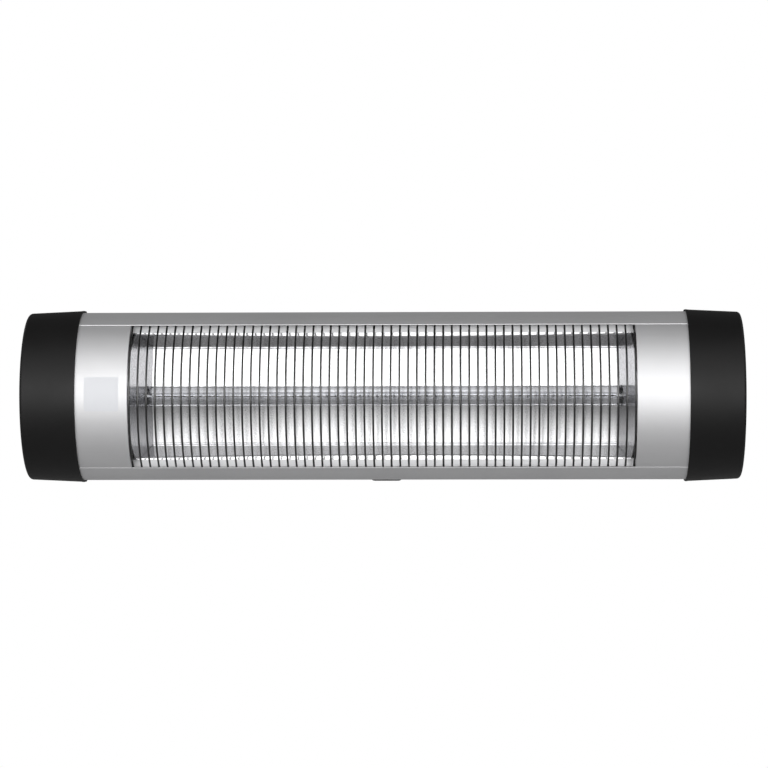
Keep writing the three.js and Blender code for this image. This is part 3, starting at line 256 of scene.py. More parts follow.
def piece(name, shape, material, bevel=0.0, sharp=30.0, axis_out=AXIS_OUT):
    """A mesh object from (x, depth, height) points and faces, set in the heater's frame in metres,
    with outward faces, sharp edges kept sharp, and its corners eased by a small bevel."""
    points, faces = shape
    points = np.asarray(points, float)
    placed = np.column_stack([points[:, 0], -axis_out - points[:, 1], points[:, 2]]) * MM
    mesh = bpy.data.meshes.new(name)
    mesh.from_pydata(placed.tolist(), [], faces)
    welded = bmesh.new()
    welded.from_mesh(mesh)
    bmesh.ops.remove_doubles(welded, verts=welded.verts, dist=1e-7)
    bmesh.ops.recalc_face_normals(welded, faces=welded.faces)
    welded.to_mesh(mesh)
    welded.free()
    made = bpy.data.objects.new(name, mesh)
    scene.collection.objects.link(made)
    mesh.materials.append(material)
    ease(made, bevel, sharp)
    return made


def ease(made, bevel, sharp=30.0):
    """Smooth faces with sharp edges kept, a bevel on those edges, and normals led by big faces."""
    made.data.shade_smooth()
    made.data.set_sharp_from_angle(angle=math.radians(sharp))
    if bevel:
        eased = made.modifiers.new("eased edges", "BEVEL")
        eased.width = bevel * MM
        eased.segments = 2
        eased.limit_method = "ANGLE"
        eased.angle_limit = math.radians(sharp)
        even = made.modifiers.new("even shading", "WEIGHTED_NORMAL")
        even.keep_sharp = True


def effect(name, *measures):
    """An empty shader group and its two ends. Every effect takes two colours, two roughnesses and
    its own measures, and gives a colour, a roughness and a height."""
    group = bpy.data.node_groups.new(name, "ShaderNodeTree")
    for way, labels in (("INPUT", ("Color", "Hazy", "Smooth", "Rough", *measures)),
                        ("OUTPUT", ("Color", "Roughness", "Height"))):
        for label in labels:
            kind = "NodeSocketColor" if label in ("Color", "Hazy") else "NodeSocketFloat"
            group.interface.new_socket(label, in_out=way, socket_type=kind)
    given = group.nodes.new("NodeGroupInput").outputs
    made = group.nodes.new("NodeGroupOutput").inputs
    return group, given, made


def worn(name, group, depth, colors, finishes, metallic=0.0, sockets=None, **measures):
    """A material led by an effect between a plain and a hazy colour, and a smooth and a rough
    finish. The effect's height goes through a bump of the given depth in metres."""
    material = finish(name, colors[0], finishes[0], metallic, **(sockets or {}))
    tree = material.node_tree
    shader = tree.nodes[SHADER]
    used = tree.nodes.new("ShaderNodeGroup")
    used.node_tree = group
    for key, color in zip(("Color", "Hazy"), colors):
        used.inputs[key].default_value = (*color, 1.0)
    for key, value in (*zip(("Smooth", "Rough"), finishes), *measures.items()):
        used.inputs[key].default_value = value
    tree.links.new(used.outputs["Color"], shader.inputs["Base Color"])
    tree.links.new(used.outputs["Roughness"], shader.inputs["Roughness"])
    bump = node(tree, "Bump", {"Height": used.outputs["Height"], "Distance": depth})
    tree.links.new(bump.outputs[0], shader.inputs["Normal"])
    return material


def led(group, given, made, clouded, gloss, gloss_range, height):
    """Links an effect's outputs: colours blended by the clouds, roughness by the gloss."""
    color = node(group, "Mix", {0: clouded, 6: given["Color"], 7: given["Hazy"]}, data_type="RGBA")
    rough = node(group, "MapRange", {0: gloss, 1: gloss_range[0], 2: gloss_range[1],
                                     3: given["Smooth"], 4: given["Rough"]})
    group.links.new(color.outputs[2], made["Color"])
    group.links.new(rough.outputs[0], made["Roughness"])
    group.links.new(height, made["Height"])


# Drawn metal: fine lines along the length, and a faint cloudiness in the anodised skin.
drawn_lines, given, made = effect("drawn lines", "Along", "Across")
place = own_place(drawn_lines)
across = given["Across"]
stretch = node(drawn_lines, "CombineXYZ", {0: given["Along"], 1: across, 2: across}).outputs[0]
stretched = node(drawn_lines, "VectorMath", {0: place, 1: stretch}, operation="MULTIPLY")
lines = noise(drawn_lines, stretched.outputs[0], 1.0, 3.0)
clouded = ramped(drawn_lines, noise(drawn_lines, place, 14.0, 4.0), 0.4, 0.7)
led(drawn_lines, given, made, clouded, lines, (0.3, 0.7), lines)

satin = worn("satin anodised aluminium", drawn_lines, 6e-6,
             [(0.84, 0.84, 0.85), (0.81, 0.81, 0.82)], (0.58, 0.64), 1.0,
             Along=5.0, Across=1500.0)


def housing_section():
    """Half of the section walked from the lip round the outside to the middle of the back, then
    the inside from there to the lip, past slot, ports, ribs and ledge."""
    corner = (BACK_CORNER - BODY_BACK, BODY_RADIUS - BACK_CORNER)
    rear, wall = SLOT_DEEP - INNER_BACK, SLOT_ROOM + SLOT_WALL
    half_slot = [(-BODY_BACK, SLOT_MOUTH), (-INNER_BACK, SLOT_MOUTH), (-INNER_BACK, SLOT_ROOM),
                 (rear, SLOT_ROOM)]
    half_block = [(rear + SLOT_WALL, wall), (-INNER_BACK, wall)]
    eased = arc(BODY_RADIUS, angle_at(LIP_HEIGHT + LIP_EASE, BODY_RADIUS), 90)
    outside = np.vstack([
        [(eased[0, 0] + 0.3 * LIP_EASE, LIP_HEIGHT)],
        eased,
        arc(BACK_CORNER, 90, 180, corner, 7.5),
        np.vstack([half_slot, below(half_slot)]) + [0, SLOT_HEIGHT],
    ])
    rib = WALL / 2
    clear = math.degrees(math.asin(rib / PORT_RADIUS))
    (back_u, back_v), (front_u, front_v) = PORTS
    rib_edges = [math.degrees(math.acos((front_u + s * rib) / INNER_RADIUS)) for s in (-1, 1)]
    inside = np.vstack([
        np.vstack([below(half_block), half_block]) + [0, SLOT_HEIGHT],
        [(-INNER_BACK, back_v - rib)],
        arc(PORT_RADIUS, 180 + clear, 540 - clear, (back_u, back_v), 15),
        [(-INNER_BACK, back_v + rib)],
        arc(BACK_CORNER - WALL, 180, 90, corner, 9),
        arc(INNER_RADIUS, 90, rib_edges[0], step=2),
        arc(PORT_RADIUS, 90 + clear, 450 - clear, (front_u, front_v), 15),
        arc(INNER_RADIUS, rib_edges[1], angle_back_to(LEDGE_DEPTH - LEDGE, INNER_RADIUS), step=2),
        [(LEDGE_DEPTH - LEDGE, LEDGE_LOW), (LEDGE_DEPTH, LEDGE_LOW)],
        arc(INNER_RADIUS, angle_back_to(LEDGE_DEPTH, INNER_RADIUS),
            angle_at(LIP_HEIGHT, INNER_RADIUS)),
    ])
    return outside, inside


outside, inside = housing_section()
bores = [arc(PORT_BORE, 0, 360, port, 15)[:-1] for port in PORT_PLACES]
section = np.vstack([outside, below(outside), below(inside), inside])
housing = piece("body_extrusion", drawn([section, *bores], -BODY_END, BODY_END), satin, 0.3)
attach(housing, "heater_body")
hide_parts("rear_housing")


# ---- Front covers ---------------------------------------------------------------------------
# A bent aluminium sheet at each end of the opening, satin anodised like the body. Its tongues
# slide in the grooves behind the lips, and a turned-in hem stiffens the edge at the guard.
COVER_RADIUS = 83.3
COVER_SHEET = 2.2
COVER_EDGE = 247.9
COVER_TOP = LIP_HEIGHT - 0.08
COVER_HEM = 1.6
HEM_OUT, HEM_IN = COVER_RADIUS - 1.1, GROOVE_RADIUS + 0.4
TONGUE_FROM = 52.0
TONGUE_OUT, TONGUE_IN = 80.8, 78.4
TONGUE_TO = angle_back_to(LEDGE_DEPTH + 0.8, TONGUE_IN)


def band(outer, inner, start, end, step=1.5):
    """A curved strip: an arc at the outer radius, and back along one at the inner radius."""
    return np.vstack([arc(outer, start, end, step=step), arc(inner, end, start, step=step)])


def flipped(shape):
    """The mirror image at the other end: x changes sign and each face is walked backwards."""
    points, faces = shape
    return points * [-1, 1, 1], [face[::-1] for face in faces]


ENDS = (("right", lambda shape: shape), ("left", flipped))


def together(*shapes):
    """Several shapes as one, their points stacked and their faces counted on."""
    points, faces, start = [], [], 0
    for part_points, part_faces in shapes:
        points.append(part_points)
        faces += [[i + start for i in face] for face in part_faces]
        start += len(part_points)
    return np.vstack(points), faces


cover_half = np.vstack([
    arc(COVER_RADIUS, 0, angle_at(COVER_TOP, COVER_RADIUS)),
    arc(TONGUE_OUT, angle_at(COVER_TOP, TONGUE_OUT), TONGUE_TO),
    arc(TONGUE_IN, TONGUE_TO, TONGUE_FROM),
    arc(COVER_RADIUS - COVER_SHEET, TONGUE_FROM, 0),
])
cover_section = np.vstack([cover_half, below(cover_half)[1:-1]])
hem_section = band(HEM_OUT, HEM_IN, -TONGUE_FROM, TONGUE_FROM)
cover_shape = together(drawn([cover_section], COVER_EDGE, BODY_END),
                       drawn([hem_section], COVER_EDGE + 0.02, COVER_EDGE + COVER_HEM))
for side, at_end in ENDS:
    cover = piece("opening_cover_" + side, at_end(cover_shape), satin, 0.25)
    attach(cover, "heater_body")
    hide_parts("front_cover_" + side)


# ---- Blank plate ----------------------------------------------------------------------------
# A thin bare square of white polyester, stuck to the left cover, with round corners.
PLATE_CENTRE = (-273.1, 2.5)
PLATE_HALF = 16.7
PLATE_CORNER = 1.8
PLATE_THICKNESS = 0.3


def shaped(made, tools, operation="DIFFERENCE"):
    """Cuts other closed shapes from a piece for good, or joins them to it."""
    for tool in tools:
        step = made.modifiers.new("step", "BOOLEAN")
        step.operation, step.object, step.solver = operation, tool, "EXACT"
    graph = bpy.context.evaluated_depsgraph_get()
    result = bpy.data.meshes.new_from_object(made.evaluated_get(graph))
    made.modifiers.clear()
    made.data = result
    for tool in tools:
        bpy.data.objects.remove(tool)
    return made


def tool(shape, axis_out=AXIS_OUT):
    return piece("tool", shape, satin, axis_out=axis_out)


def rounded(x_half, y_half, radius, centre=(0.0, 0.0)):
    """A rectangle with round corners: four quarter arcs about the corners' centres."""
    x, y = x_half - radius, y_half - radius
    return np.vstack([arc(radius, start, start + 90, place, 15) for start, place in
                      ((0, (x, y)), (90, (-x, y)), (180, (-x, -y)), (270, (x, -y)))]) + centre


polyester = finish("white polyester", (0.75, 0.76, 0.79), 0.4)
tree = polyester.node_tree
cloud = noise(tree, own_place(tree), 90.0, 3.0)
tree.links.new(ramped(tree, cloud, 0.3, 0.7, 0.34, 0.46), tree.nodes[SHADER].inputs["Roughness"])
square = rounded(PLATE_HALF, PLATE_HALF, PLATE_CORNER, PLATE_CENTRE)
plate = piece("blank_plate", drawn([square], COVER_RADIUS - 8, COVER_RADIUS + 4, along="depth"),
              polyester)
shell = band(COVER_RADIUS + PLATE_THICKNESS, COVER_RADIUS + 0.02, -20, 20)
shaped(plate, [tool(drawn([shell], PLATE_CENTRE[0] - 20, PLATE_CENTRE[0] + 20))], "INTERSECT")
ease(plate, 0.0)
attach(plate, "heater_body")


# ---- Guard ----------------------------------------------------------------------------------
# Fifty-nine steel wires bent to the body's round and welded to a bar above and a bar below, all
# coated glossy black. The bars sit in the grooves behind the lips.
WIRE_COUNT = 59
WIRE_RADIUS = 1.0
WIRE_ARC = 79.6
OPENING = 493.0
BAR_PLAY = 0.4
BAR_IN = GROOVE_RADIUS + BAR_PLAY
BAR_TO = angle_back_to(LEDGE_DEPTH + BAR_PLAY, BAR_IN)
BAR_FROM = BAR_TO - 2.16
WIRE_END = BAR_FROM + 0.4


def skin(grid, ends=True, looped=False):
    """Quads over a grid of rings by points, joined round each ring. The first and last ring are
    closed by flat faces, or, where looped, joined to each other."""
    rings, n, _ = grid.shape
    rows = rings if looped else rings - 1
    i = np.arange(rows)[:, None]
    j = np.arange(n)[None, :]
    k = (j + 1) % n
    after = (i + 1) % rings
    quads = np.stack([i * n + j, i * n + k, after * n + k, after * n + j], -1)
    faces = quads.reshape(-1, 4).tolist()
    if ends and not looped:
        faces += [list(range(n))[::-1], list(range((rings - 1) * n, rings * n))]
    return grid.reshape(-1, 3), faces


# Coated and moulded surfaces: a fine grain, and a broad faint unevenness in gloss and colour.
grained, given, made = effect("fine grain", "Scale", "Broad")
place = own_place(grained)
clouded = ramped(grained, noise(grained, place, given["Broad"], 5.0), 0.35, 0.7)
led(grained, given, made, clouded, clouded, (0.0, 1.0), noise(grained, place, given["Scale"]))

wire_coat = worn("black wire coat", grained, 5e-6, [(0.005, 0.005, 0.005), (0.008, 0.008, 0.008)],
                 (0.1, 0.16), sockets={"IOR": 1.85}, Scale=700.0, Broad=60.0)

# A wire's rings stand across an arc about the axis: x is the wire's radius times the cosine round
# it, and the reach from the axis is the arc's radius plus the wire's times the sine.
along = np.radians(np.linspace(-WIRE_END, WIRE_END, 57))[:, None]
round_wire = np.radians(np.arange(0, 360, 30))[None, :]
reach = WIRE_ARC + WIRE_RADIUS * np.sin(round_wire)
wire_grid = np.stack([WIRE_RADIUS * np.cos(round_wire) + 0 * along,
                      reach * np.cos(along), reach * np.sin(along)], -1)
wire_points, wire_faces = skin(wire_grid)
places = np.linspace(-OPENING / 2, OPENING / 2, WIRE_COUNT)
wires = together(*[(wire_points + [x, 0, 0], wire_faces) for x in places])
bar_section = band(INNER_RADIUS - BAR_PLAY, BAR_IN, BAR_FROM, BAR_TO, 0.6)
bar_end = OPENING / 2 + WIRE_RADIUS
guard = piece("guard_wires", together(wires, drawn([bar_section], -bar_end, bar_end),
                                      drawn([below(bar_section)], -bar_end, bar_end)),
              wire_coat, sharp=50.0)
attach(guard, "heater_body")
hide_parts("guard_grille")


# ---- Mirror trough --------------------------------------------------------------------------
# A polished aluminium sheet, bent into a deep trough: a flat flange, a tight bend and a slanting
# wall on each side, and a back of two shallow scoops that meet in a ridge behind the lamp. The
# sheet bows in a little at mid length, and its back falls away a little towards the ends.
SHEET = 1.0
FLANGE_PLAY = 0.3
BEND_RADIUS = 1.6
TROUGH_BACK = -11.0
TROUGH_RIDGE = 4.0
TROUGH_CORNER = (TROUGH_BACK, 48.5)
CHEEK_BACK_X, CHEEK_FRONT_X = 232.5, 249.0
BOW = 2.6
FALL = 2.4


def trough_line(bow=0.0, fall=0.0):
    """The sheet's middle line on the upper half: flat flange, tight bend, straight wall, and a
    scoop that rises to the ridge with the square of the share of the way from corner to middle.
    The bend is lowered by the bow. The corner is set back by the fall, which the scoop makes up
    in step with that share."""
    flange = LEDGE_DEPTH - LEDGE - FLANGE_PLAY - SHEET / 2
    centre_u, centre_v = flange - BEND_RADIUS, LEDGE_LOW - SHEET / 2 - bow
    corner_u, corner_v = TROUGH_CORNER[0] - fall, TROUGH_CORNER[1]
    wall = math.degrees(math.atan2(centre_v - BEND_RADIUS - corner_v, centre_u - corner_u))
    share = np.linspace(0, 1, 41)
    back = np.column_stack([corner_u + fall * share + TROUGH_RIDGE * share ** 2,
                            corner_v * (1 - share)])
    bend = np.radians(np.linspace(0, wall - 90, 9))
    return np.vstack([[(flange, LIP_HEIGHT)],
                      np.column_stack([centre_u + BEND_RADIUS * np.cos(bend),
                                       centre_v + BEND_RADIUS * np.sin(bend)]), back])


def sheet_section(line, thickness):
    """A band of even thickness: each point of the line moved both ways along its normal."""
    along = np.gradient(line, axis=0)
    along /= np.linalg.norm(along, axis=1)[:, None]
    normal = np.column_stack([-along[:, 1], along[:, 0]]) * thickness / 2
    return np.vstack([line + normal, (line - normal)[::-1]])


def bowed_sheet(stations):
    """Sections at places along x, joined in turn; each bows by one less the square of its place,
    and falls by that square."""
    rings = []
    for share in stations:
        upper = trough_line(BOW * (1 - share * share), FALL * share * share)
        section = sheet_section(np.vstack([upper, below(upper)[1:]]), SHEET)
        rings.append(stood(CHEEK_FRONT_X * share, section))
    return skin(np.stack(rings))


mirror = worn("polished aluminium", drawn_lines, 2e-6,
              [(0.74, 0.74, 0.75), (0.71, 0.71, 0.725)], (0.1, 0.15), 1.0,
              Along=220.0, Across=14.0)

trough = piece("trough_sheet", bowed_sheet(np.linspace(-1, 1, 41)), mirror, sharp=40.0)
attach(trough, "heater_body")
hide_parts("reflector")


# ---- Trough cheeks --------------------------------------------------------------------------
# A plate of the same aluminium, darker as painted shade, closes each end of the trough. It leans
# outwards to the front, where it reaches under the cover, and the lamp passes through a round
# hole.
CHEEK_RADIUS = 77.4
CHEEK_TOP = LEDGE_LOW - 0.6
CHEEK_PLAY = 1.0
LAMP_DEPTH = 8.0
LAMP_HOLE = 10.5


def cheek_outline():
    """The front edge is an arc, the top clears the ledge, and the rest follows the trough's line,
    moved in by a clearance."""
    line = trough_line(fall=FALL * (CHEEK_BACK_X / CHEEK_FRONT_X) ** 2)
    corner = int(np.argmax(line[:, 1] <= TROUGH_CORNER[1] + 1e-6))
    bend_end = line[corner - 1]
    return np.vstack([arc(CHEEK_RADIUS, 0, angle_at(CHEEK_TOP, CHEEK_RADIUS)),
                      [(LEDGE_DEPTH - LEDGE + 0.4, CHEEK_TOP), bend_end - [0, 1.1],
                       line[corner] + [CHEEK_PLAY, -0.9]],
                      line[corner + 1:] + [CHEEK_PLAY, 0]])


def leaning(shape):
    """Moves a flat shape's points along x, from the back's place to the front's in step with
    their depth."""
    points, faces = shape
    share = (points[:, 1] - TROUGH_BACK) / (CHEEK_RADIUS - TROUGH_BACK)
    moved = points.copy()
    moved[:, 0] += CHEEK_BACK_X + (CHEEK_FRONT_X - CHEEK_BACK_X) * share
    return moved, faces


# Painted shade: the base colour is the mirror's aluminium darkened well below it, so the cheeks
# look shaded.
cheek_mirror_painted_shade = worn("cheek aluminium, painted shade", drawn_lines, 4e-6,
                   [(0.3, 0.3, 0.31), (0.26, 0.26, 0.275)], (0.16, 0.24), 1.0,
                   Along=30.0, Across=260.0)
half = cheek_outline()
cheek_section = np.vstack([half, below(half)[1:-1]])
hole = arc(LAMP_HOLE, 0, 360, (LAMP_DEPTH, 0), 7.5)[:-1]
cheek_shape = leaning(drawn([cheek_section, hole], -SHEET / 2, SHEET / 2))
for side, at_end in ENDS:
    cheek = piece("trough_cheek_" + side, at_end(cheek_shape), cheek_mirror_painted_shade, 0.1)
    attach(cheek, "heater_body")
    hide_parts("reflector_cheek_" + side)


# ---- Lamp -----------------------------------------------------------------------------------
# A clear quartz tube with a twisted carbon strand down its middle, held by a metal clamp and two
# thin leads at each end. A ceramic end closes the tube and sits in a sprung clip.
LAMP_PLACE = (LAMP_DEPTH, 0.0)
LAMP_RADIUS = 10.0
QUARTZ_WALL = 1.4
LAMP_END = 262.0
STRAND_END = 230.0
STRAND_RADIUS = 0.62
STRAND_SWELL = 0.2
STRAND_TWIST = 9.0
CLAMP_SPAN, LEAD_SPAN, SEAT_SPAN = (230.3, 236.3), (235.3, 256.0), (253.0, 255.7)
LEAD_RADIUS, LEAD_HEIGHT = 0.5, 1.3


def spun(t, radius, angle, place):
    """Rings round an axis along x: at t, the place plus radius times cosine and sine."""
    return np.stack([t + 0 * angle, place[0] + radius * np.cos(angle),
                     place[1] + radius * np.sin(angle)], -1)


def turned(profile, place, sides=32, looped=False, along="x"):
    """A profile of (distance along the axis, radius) spun about a line along x, or along depth."""
    profile = np.asarray(profile, float)
    angle = np.linspace(0, 2 * np.pi, sides + 1)[:-1]
    grid = spun(profile[:, :1], profile[:, 1:], angle, place)
    if along == "depth":
        grid = grid[..., [1, 0, 2]]
    return skin(grid, ends=not looped and profile[0, 1] > 0, looped=looped)


quartz = finish("clear quartz", (0.98, 0.985, 1.0), 0.04, Transmission_Weight=1.0, IOR=1.46)
tree = quartz.node_tree
stretched = node(tree, "Mapping", {0: own_place(tree), 3: (4.0, 90.0, 90.0)}).outputs[0]
streak = noise(tree, stretched, 1.0)
rough = node(tree, "MapRange", {0: streak, 1: 0.4, 2: 0.8, 3: 0.02, 4: 0.07}).outputs[0]
tree.links.new(rough, tree.nodes[SHADER].inputs["Roughness"])

inside_radius = LAMP_RADIUS - QUARTZ_WALL
tube_profile = [(-LAMP_END, inside_radius), (-LAMP_END, LAMP_RADIUS),
                (LAMP_END, LAMP_RADIUS), (LAMP_END, inside_radius)]
tube = piece("quartz_tube", turned(tube_profile, LAMP_PLACE, 64, looped=True), quartz, 0.2)
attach(tube, "heater_body")
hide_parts("lamp_tube")

carbon = worn("carbon strand", grained, 4e-5, [(0.03, 0.028, 0.026), (0.06, 0.055, 0.05)],
              (0.5, 0.75), Scale=2500.0, Broad=300.0)
# The strand has two lobes that turn once in each twist: its radius is the mean one, times one plus
# the swell times the cosine of twice the angle less the twist so far.
length = np.linspace(-STRAND_END, STRAND_END, 461)[:, None]
angle = np.radians(np.arange(0, 360, 22.5))[None, :]
twist = 2 * np.pi * length / STRAND_TWIST
lobes = STRAND_RADIUS * (1 + STRAND_SWELL * np.cos(2 * (angle - twist)))
strand = piece("twisted_strand", skin(spun(length, lobes, angle, LAMP_PLACE)), carbon, sharp=60.0)
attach(strand, "heater_body")
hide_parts("carbon_strand")


def rod(start, end, radius, place, sides=24, along="x", cut=0.0):
    """A round bar, with both ends cut at 45 degrees where a cut is given."""
    profile = [(start, 0), (start, radius - cut), (start + cut, radius), (end - cut, radius),
               (end, radius - cut), (end, 0)]
    return turned(profile if cut else profile[:2] + profile[4:], place, sides, along=along)


zinc = worn("bright zinc plate", grained, 2e-5, [(0.66, 0.67, 0.68), (0.56, 0.57, 0.6)],
            (0.22, 0.42), 1.0, Scale=900.0, Broad=160.0)
ceramic = worn("off-white ceramic", grained, 6e-5, [(0.8, 0.77, 0.7), (0.7, 0.66, 0.58)],
               (0.42, 0.6), Scale=1200.0, Broad=70.0)
clamp = rod(*CLAMP_SPAN, 2.2, LAMP_PLACE, cut=0.6)
leads = [rod(*LEAD_SPAN, LEAD_RADIUS, (LAMP_DEPTH, v), 12) for v in (LEAD_HEIGHT, -LEAD_HEIGHT)]
seat = rod(*SEAT_SPAN, 2.6, LAMP_PLACE, cut=0.4)
strand_end_shape = together(clamp, *leads, seat)
lamp_end_shape = turned(
    [(256, 0), (256, 8.2), (262.3, 8.2), (262.3, 10.4), (262.9, 11), (280.8, 11), (281.8, 10.6),
     (282.3, 9.5), (282.3, 0)], LAMP_PLACE, 48)
for side, at_end in ENDS:
    strand_end = piece("strand_clamp_" + side, at_end(strand_end_shape), zinc)
    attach(strand_end, "heater_body")
    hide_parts("strand_end_" + side)
    lamp_end = piece("ceramic_end_" + side, at_end(lamp_end_shape), ceramic)
    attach(lamp_end, "heater_body")
    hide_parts("lamp_end_" + side)


# ---- End caps -------------------------------------------------------------------------------
# Moulded black plastic with a fine satin texture. The rim slips over the body, the sides narrow
# a little on their way out, and four screws in counterbores hold each cap. The right cap has a
# recess for the switch in its end, and a hole for the cable gland in its back.
CAP_RIM = 299.0
CAP_END = 353.4
CAP_FLOOR = 350.4
CAP_CORNER = 3.5
RIM_LIP = 2.0
CAP_DRAFT = 2.5
CAP_WALL = 2.5
CAP_REBATE = 305.2
PLATE_OUT = 307.2
HEAD_ROOM = 2.6
HEAD_BORE = 4.2
GLAND_PLACE = (331.4, -18.0)
GLAND_HOLE = 8.4
SWITCH_PLACE = (4.0, 0.0)
PAD_BACK, RECESS_FLOOR = 345.8, 348.8


def body_outline(inset):
    """The body's outline moved in: a half round in front, and two round corners behind."""
    r, back = BODY_RADIUS - inset, BODY_BACK - inset
    corner = max(BACK_CORNER - inset, 2.0)
    return np.vstack([arc(r, -90, 90, step=2),
                      arc(corner, 90, 180, (corner - back, r - corner), 9),
                      arc(corner, 180, 270, (corner - back, corner - r), 9)])


def lofted(rings):
    """Body outlines at successive x, each moved in by its own inset: rings of (x, inset)."""
    return skin(np.stack([stood(x, body_outline(inset)) for x, inset in rings]))


def fillet(x, inset, radius, count=8):
    """Rings of a quarter round from a side to an end, by the sine and cosine of the angle."""
    a = np.radians(np.linspace(0, 90, count + 1))[1:]
    return list(zip(x + radius * np.sin(a), inset + radius * (1 - np.cos(a))))


cap_skin = worn("satin black plastic", grained, 5e-5,
                [(0.003, 0.0028, 0.0029), (0.004, 0.0037, 0.0038)], (0.46, 0.54),
                sockets={"Specular_IOR_Level": 0.36}, Scale=1700.0, Broad=16.0)

side_inset = CAP_DRAFT - RIM_LIP
outer_rings = [(CAP_RIM, 0.5 - RIM_LIP), (CAP_RIM + 0.15, 0.15 - RIM_LIP),
               (CAP_RIM + 0.5, -RIM_LIP), (CAP_RIM + 1.6, -RIM_LIP),
               (CAP_RIM + 2.4, 0.25 - RIM_LIP), (CAP_END - CAP_CORNER, side_inset),
               *fillet(CAP_END - CAP_CORNER, side_inset, CAP_CORNER)]
slope = CAP_DRAFT / (CAP_END - CAP_CORNER - CAP_RIM)
room_corner = CAP_CORNER - CAP_WALL
inner_rings = [(CAP_RIM - 1, -0.4), (CAP_REBATE, -0.4),
               (CAP_REBATE, CAP_WALL - RIM_LIP + slope * (CAP_REBATE - CAP_RIM)),
               (CAP_FLOOR - room_corner, side_inset + CAP_WALL),
               *fillet(CAP_FLOOR - room_corner, side_inset + CAP_WALL, room_corner, 5)]


def cap_mesh(name, switched):
    """A cap drawn on the right: outer loft less inner loft, bosses joined, holes cut."""
    made = piece(name, lofted(outer_rings), cap_skin)
    shaped(made, [tool(lofted(inner_rings))])
    bosses = [tool(rod(PLATE_OUT + 0.3, CAP_FLOOR + 1, PORT_RADIUS, port)) for port in PORT_PLACES]
    if switched:
        pad = rounded(12.8, 17.8, 3, SWITCH_PLACE)
        bosses.append(tool(drawn([pad], PAD_BACK, CAP_FLOOR + 1)))
    shaped(made, bosses, "UNION")
    cuts = [tool(rod(PLATE_OUT - 1, CAP_END + 1, PORT_BORE, port)) for port in PORT_PLACES]
    cuts += [tool(rod(CAP_END - HEAD_ROOM, CAP_END + 1, HEAD_BORE, port, 32))
             for port in PORT_PLACES]
    if switched:
        recess = rounded(10.3, 15.3, 1.5, SWITCH_PLACE)
        window = rounded(7.5, 12.5, 0.5, SWITCH_PLACE)
        cuts.append(tool(drawn([recess], RECESS_FLOOR, CAP_END + 1)))
        cuts.append(tool(drawn([window], 340, 349.5)))
        cuts.append(tool(rod(-30, -14, GLAND_HOLE, GLAND_PLACE, 32, along="depth")))
    return shaped(made, cuts)


cap_right = cap_mesh("moulded_cap_right", True)
cap_left = cap_mesh("moulded_cap_left", False)
coordinates = np.empty(len(cap_left.data.vertices) * 3)
cap_left.data.vertices.foreach_get("co", coordinates)
coordinates[::3] *= -1
cap_left.data.vertices.foreach_set("co", coordinates)
cap_left.data.flip_normals()
for side, cap in (("right", cap_right), ("left", cap_left)):
    ease(cap, 0.3, 25.0)
    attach(cap, "heater_body")
    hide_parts("end_cap_" + side)


# ---- Cap screws -----------------------------------------------------------------------------
# Zinc-plated pan-head screws with a cross recess. Each goes through a cap's end and the end
# plate into one of the body's screw ports.
SCREW_TIP = 290.9
SCREW_SEAT = CAP_END - HEAD_ROOM + 0.3
SCREW_TOP = CAP_END - 0.3
CROSS_LONG, CROSS_NARROW, CROSS_DEEP = 2.0, 0.45, 1.3
THREAD_CREST, THREAD_ROOT, THREAD_PITCH = 1.9, 1.5, 1.2


def threaded(start, end, crest, root, place, pitch, sides=16):
    """A screw thread: the radius swings between crest and root with x less one pitch a turn."""
    rings = int((end - start) / pitch * 4)
    t = np.linspace(start, end, rings)[:, None]
    angle = np.linspace(0, 2 * np.pi, sides + 1)[None, :-1]
    phase = (t / pitch - angle / (2 * np.pi)) % 1.0
    radius = root + (crest - root) * (1 - np.abs(2 * phase - 1))
    return skin(spun(t, radius, angle, place))


names = ["upper_back", "upper_front", "lower_back", "lower_front"]
head_profile = [(SCREW_SEAT, 0), (SCREW_SEAT, 3.75), (SCREW_SEAT + 0.9, 3.8),
                (SCREW_SEAT + 1.4, 3.6), (SCREW_SEAT + 1.8, 3.0), (SCREW_TOP, 1.9), (SCREW_TOP, 0)]
for port, name in zip(PORT_PLACES, names):
    screw = piece("screw_head", turned(head_profile, port), zinc)
    blades = [tool(drawn([rounded(a, b, 0.3, port)], SCREW_TOP - CROSS_DEEP, SCREW_TOP + 1))
              for a, b in ((CROSS_NARROW, CROSS_LONG), (CROSS_LONG, CROSS_NARROW))]
    shaped(screw, blades)
    co = np.empty(len(screw.data.vertices) * 3)
    screw.data.vertices.foreach_get("co", co)
    co = co.reshape(-1, 3) / MM
    head = (np.column_stack([co[:, 0], -AXIS_OUT - co[:, 1], co[:, 2]]),
            [list(face.vertices) for face in screw.data.polygons])
    bpy.data.objects.remove(screw)
    shank = threaded(SCREW_TIP, SCREW_SEAT + 0.3, THREAD_CREST, THREAD_ROOT, port, THREAD_PITCH)
    for side, at_end in ENDS:
        screw = piece("cross_screw_%s_%s" % (side, name), at_end(together(head, shank)), zinc)
        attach(screw, "heater_body")
        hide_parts("cap_screw_%s_%s" % (side, name))


# ---- Switch ---------------------------------------------------------------------------------
# A black rocker switch clipped into the right cap's end. Its bezel lies in the recess, and the
# glossy rocker is a shallow V that tips about a line from front to back.
SWITCH_FACE = 349.1
BEZEL_TOP = 350.7
CASE_BACK, TAG_TIP, WELL_FLOOR = 332.1, 325.1, 341.1
ROCKER_PIVOT = 347.5
ROCKER_TILT = math.radians(7.0)
ROCKER_HALF, ROCKER_WIDE = 10.1, 5.3
VALLEY, VALLEY_RISE = 0.006, 0.926

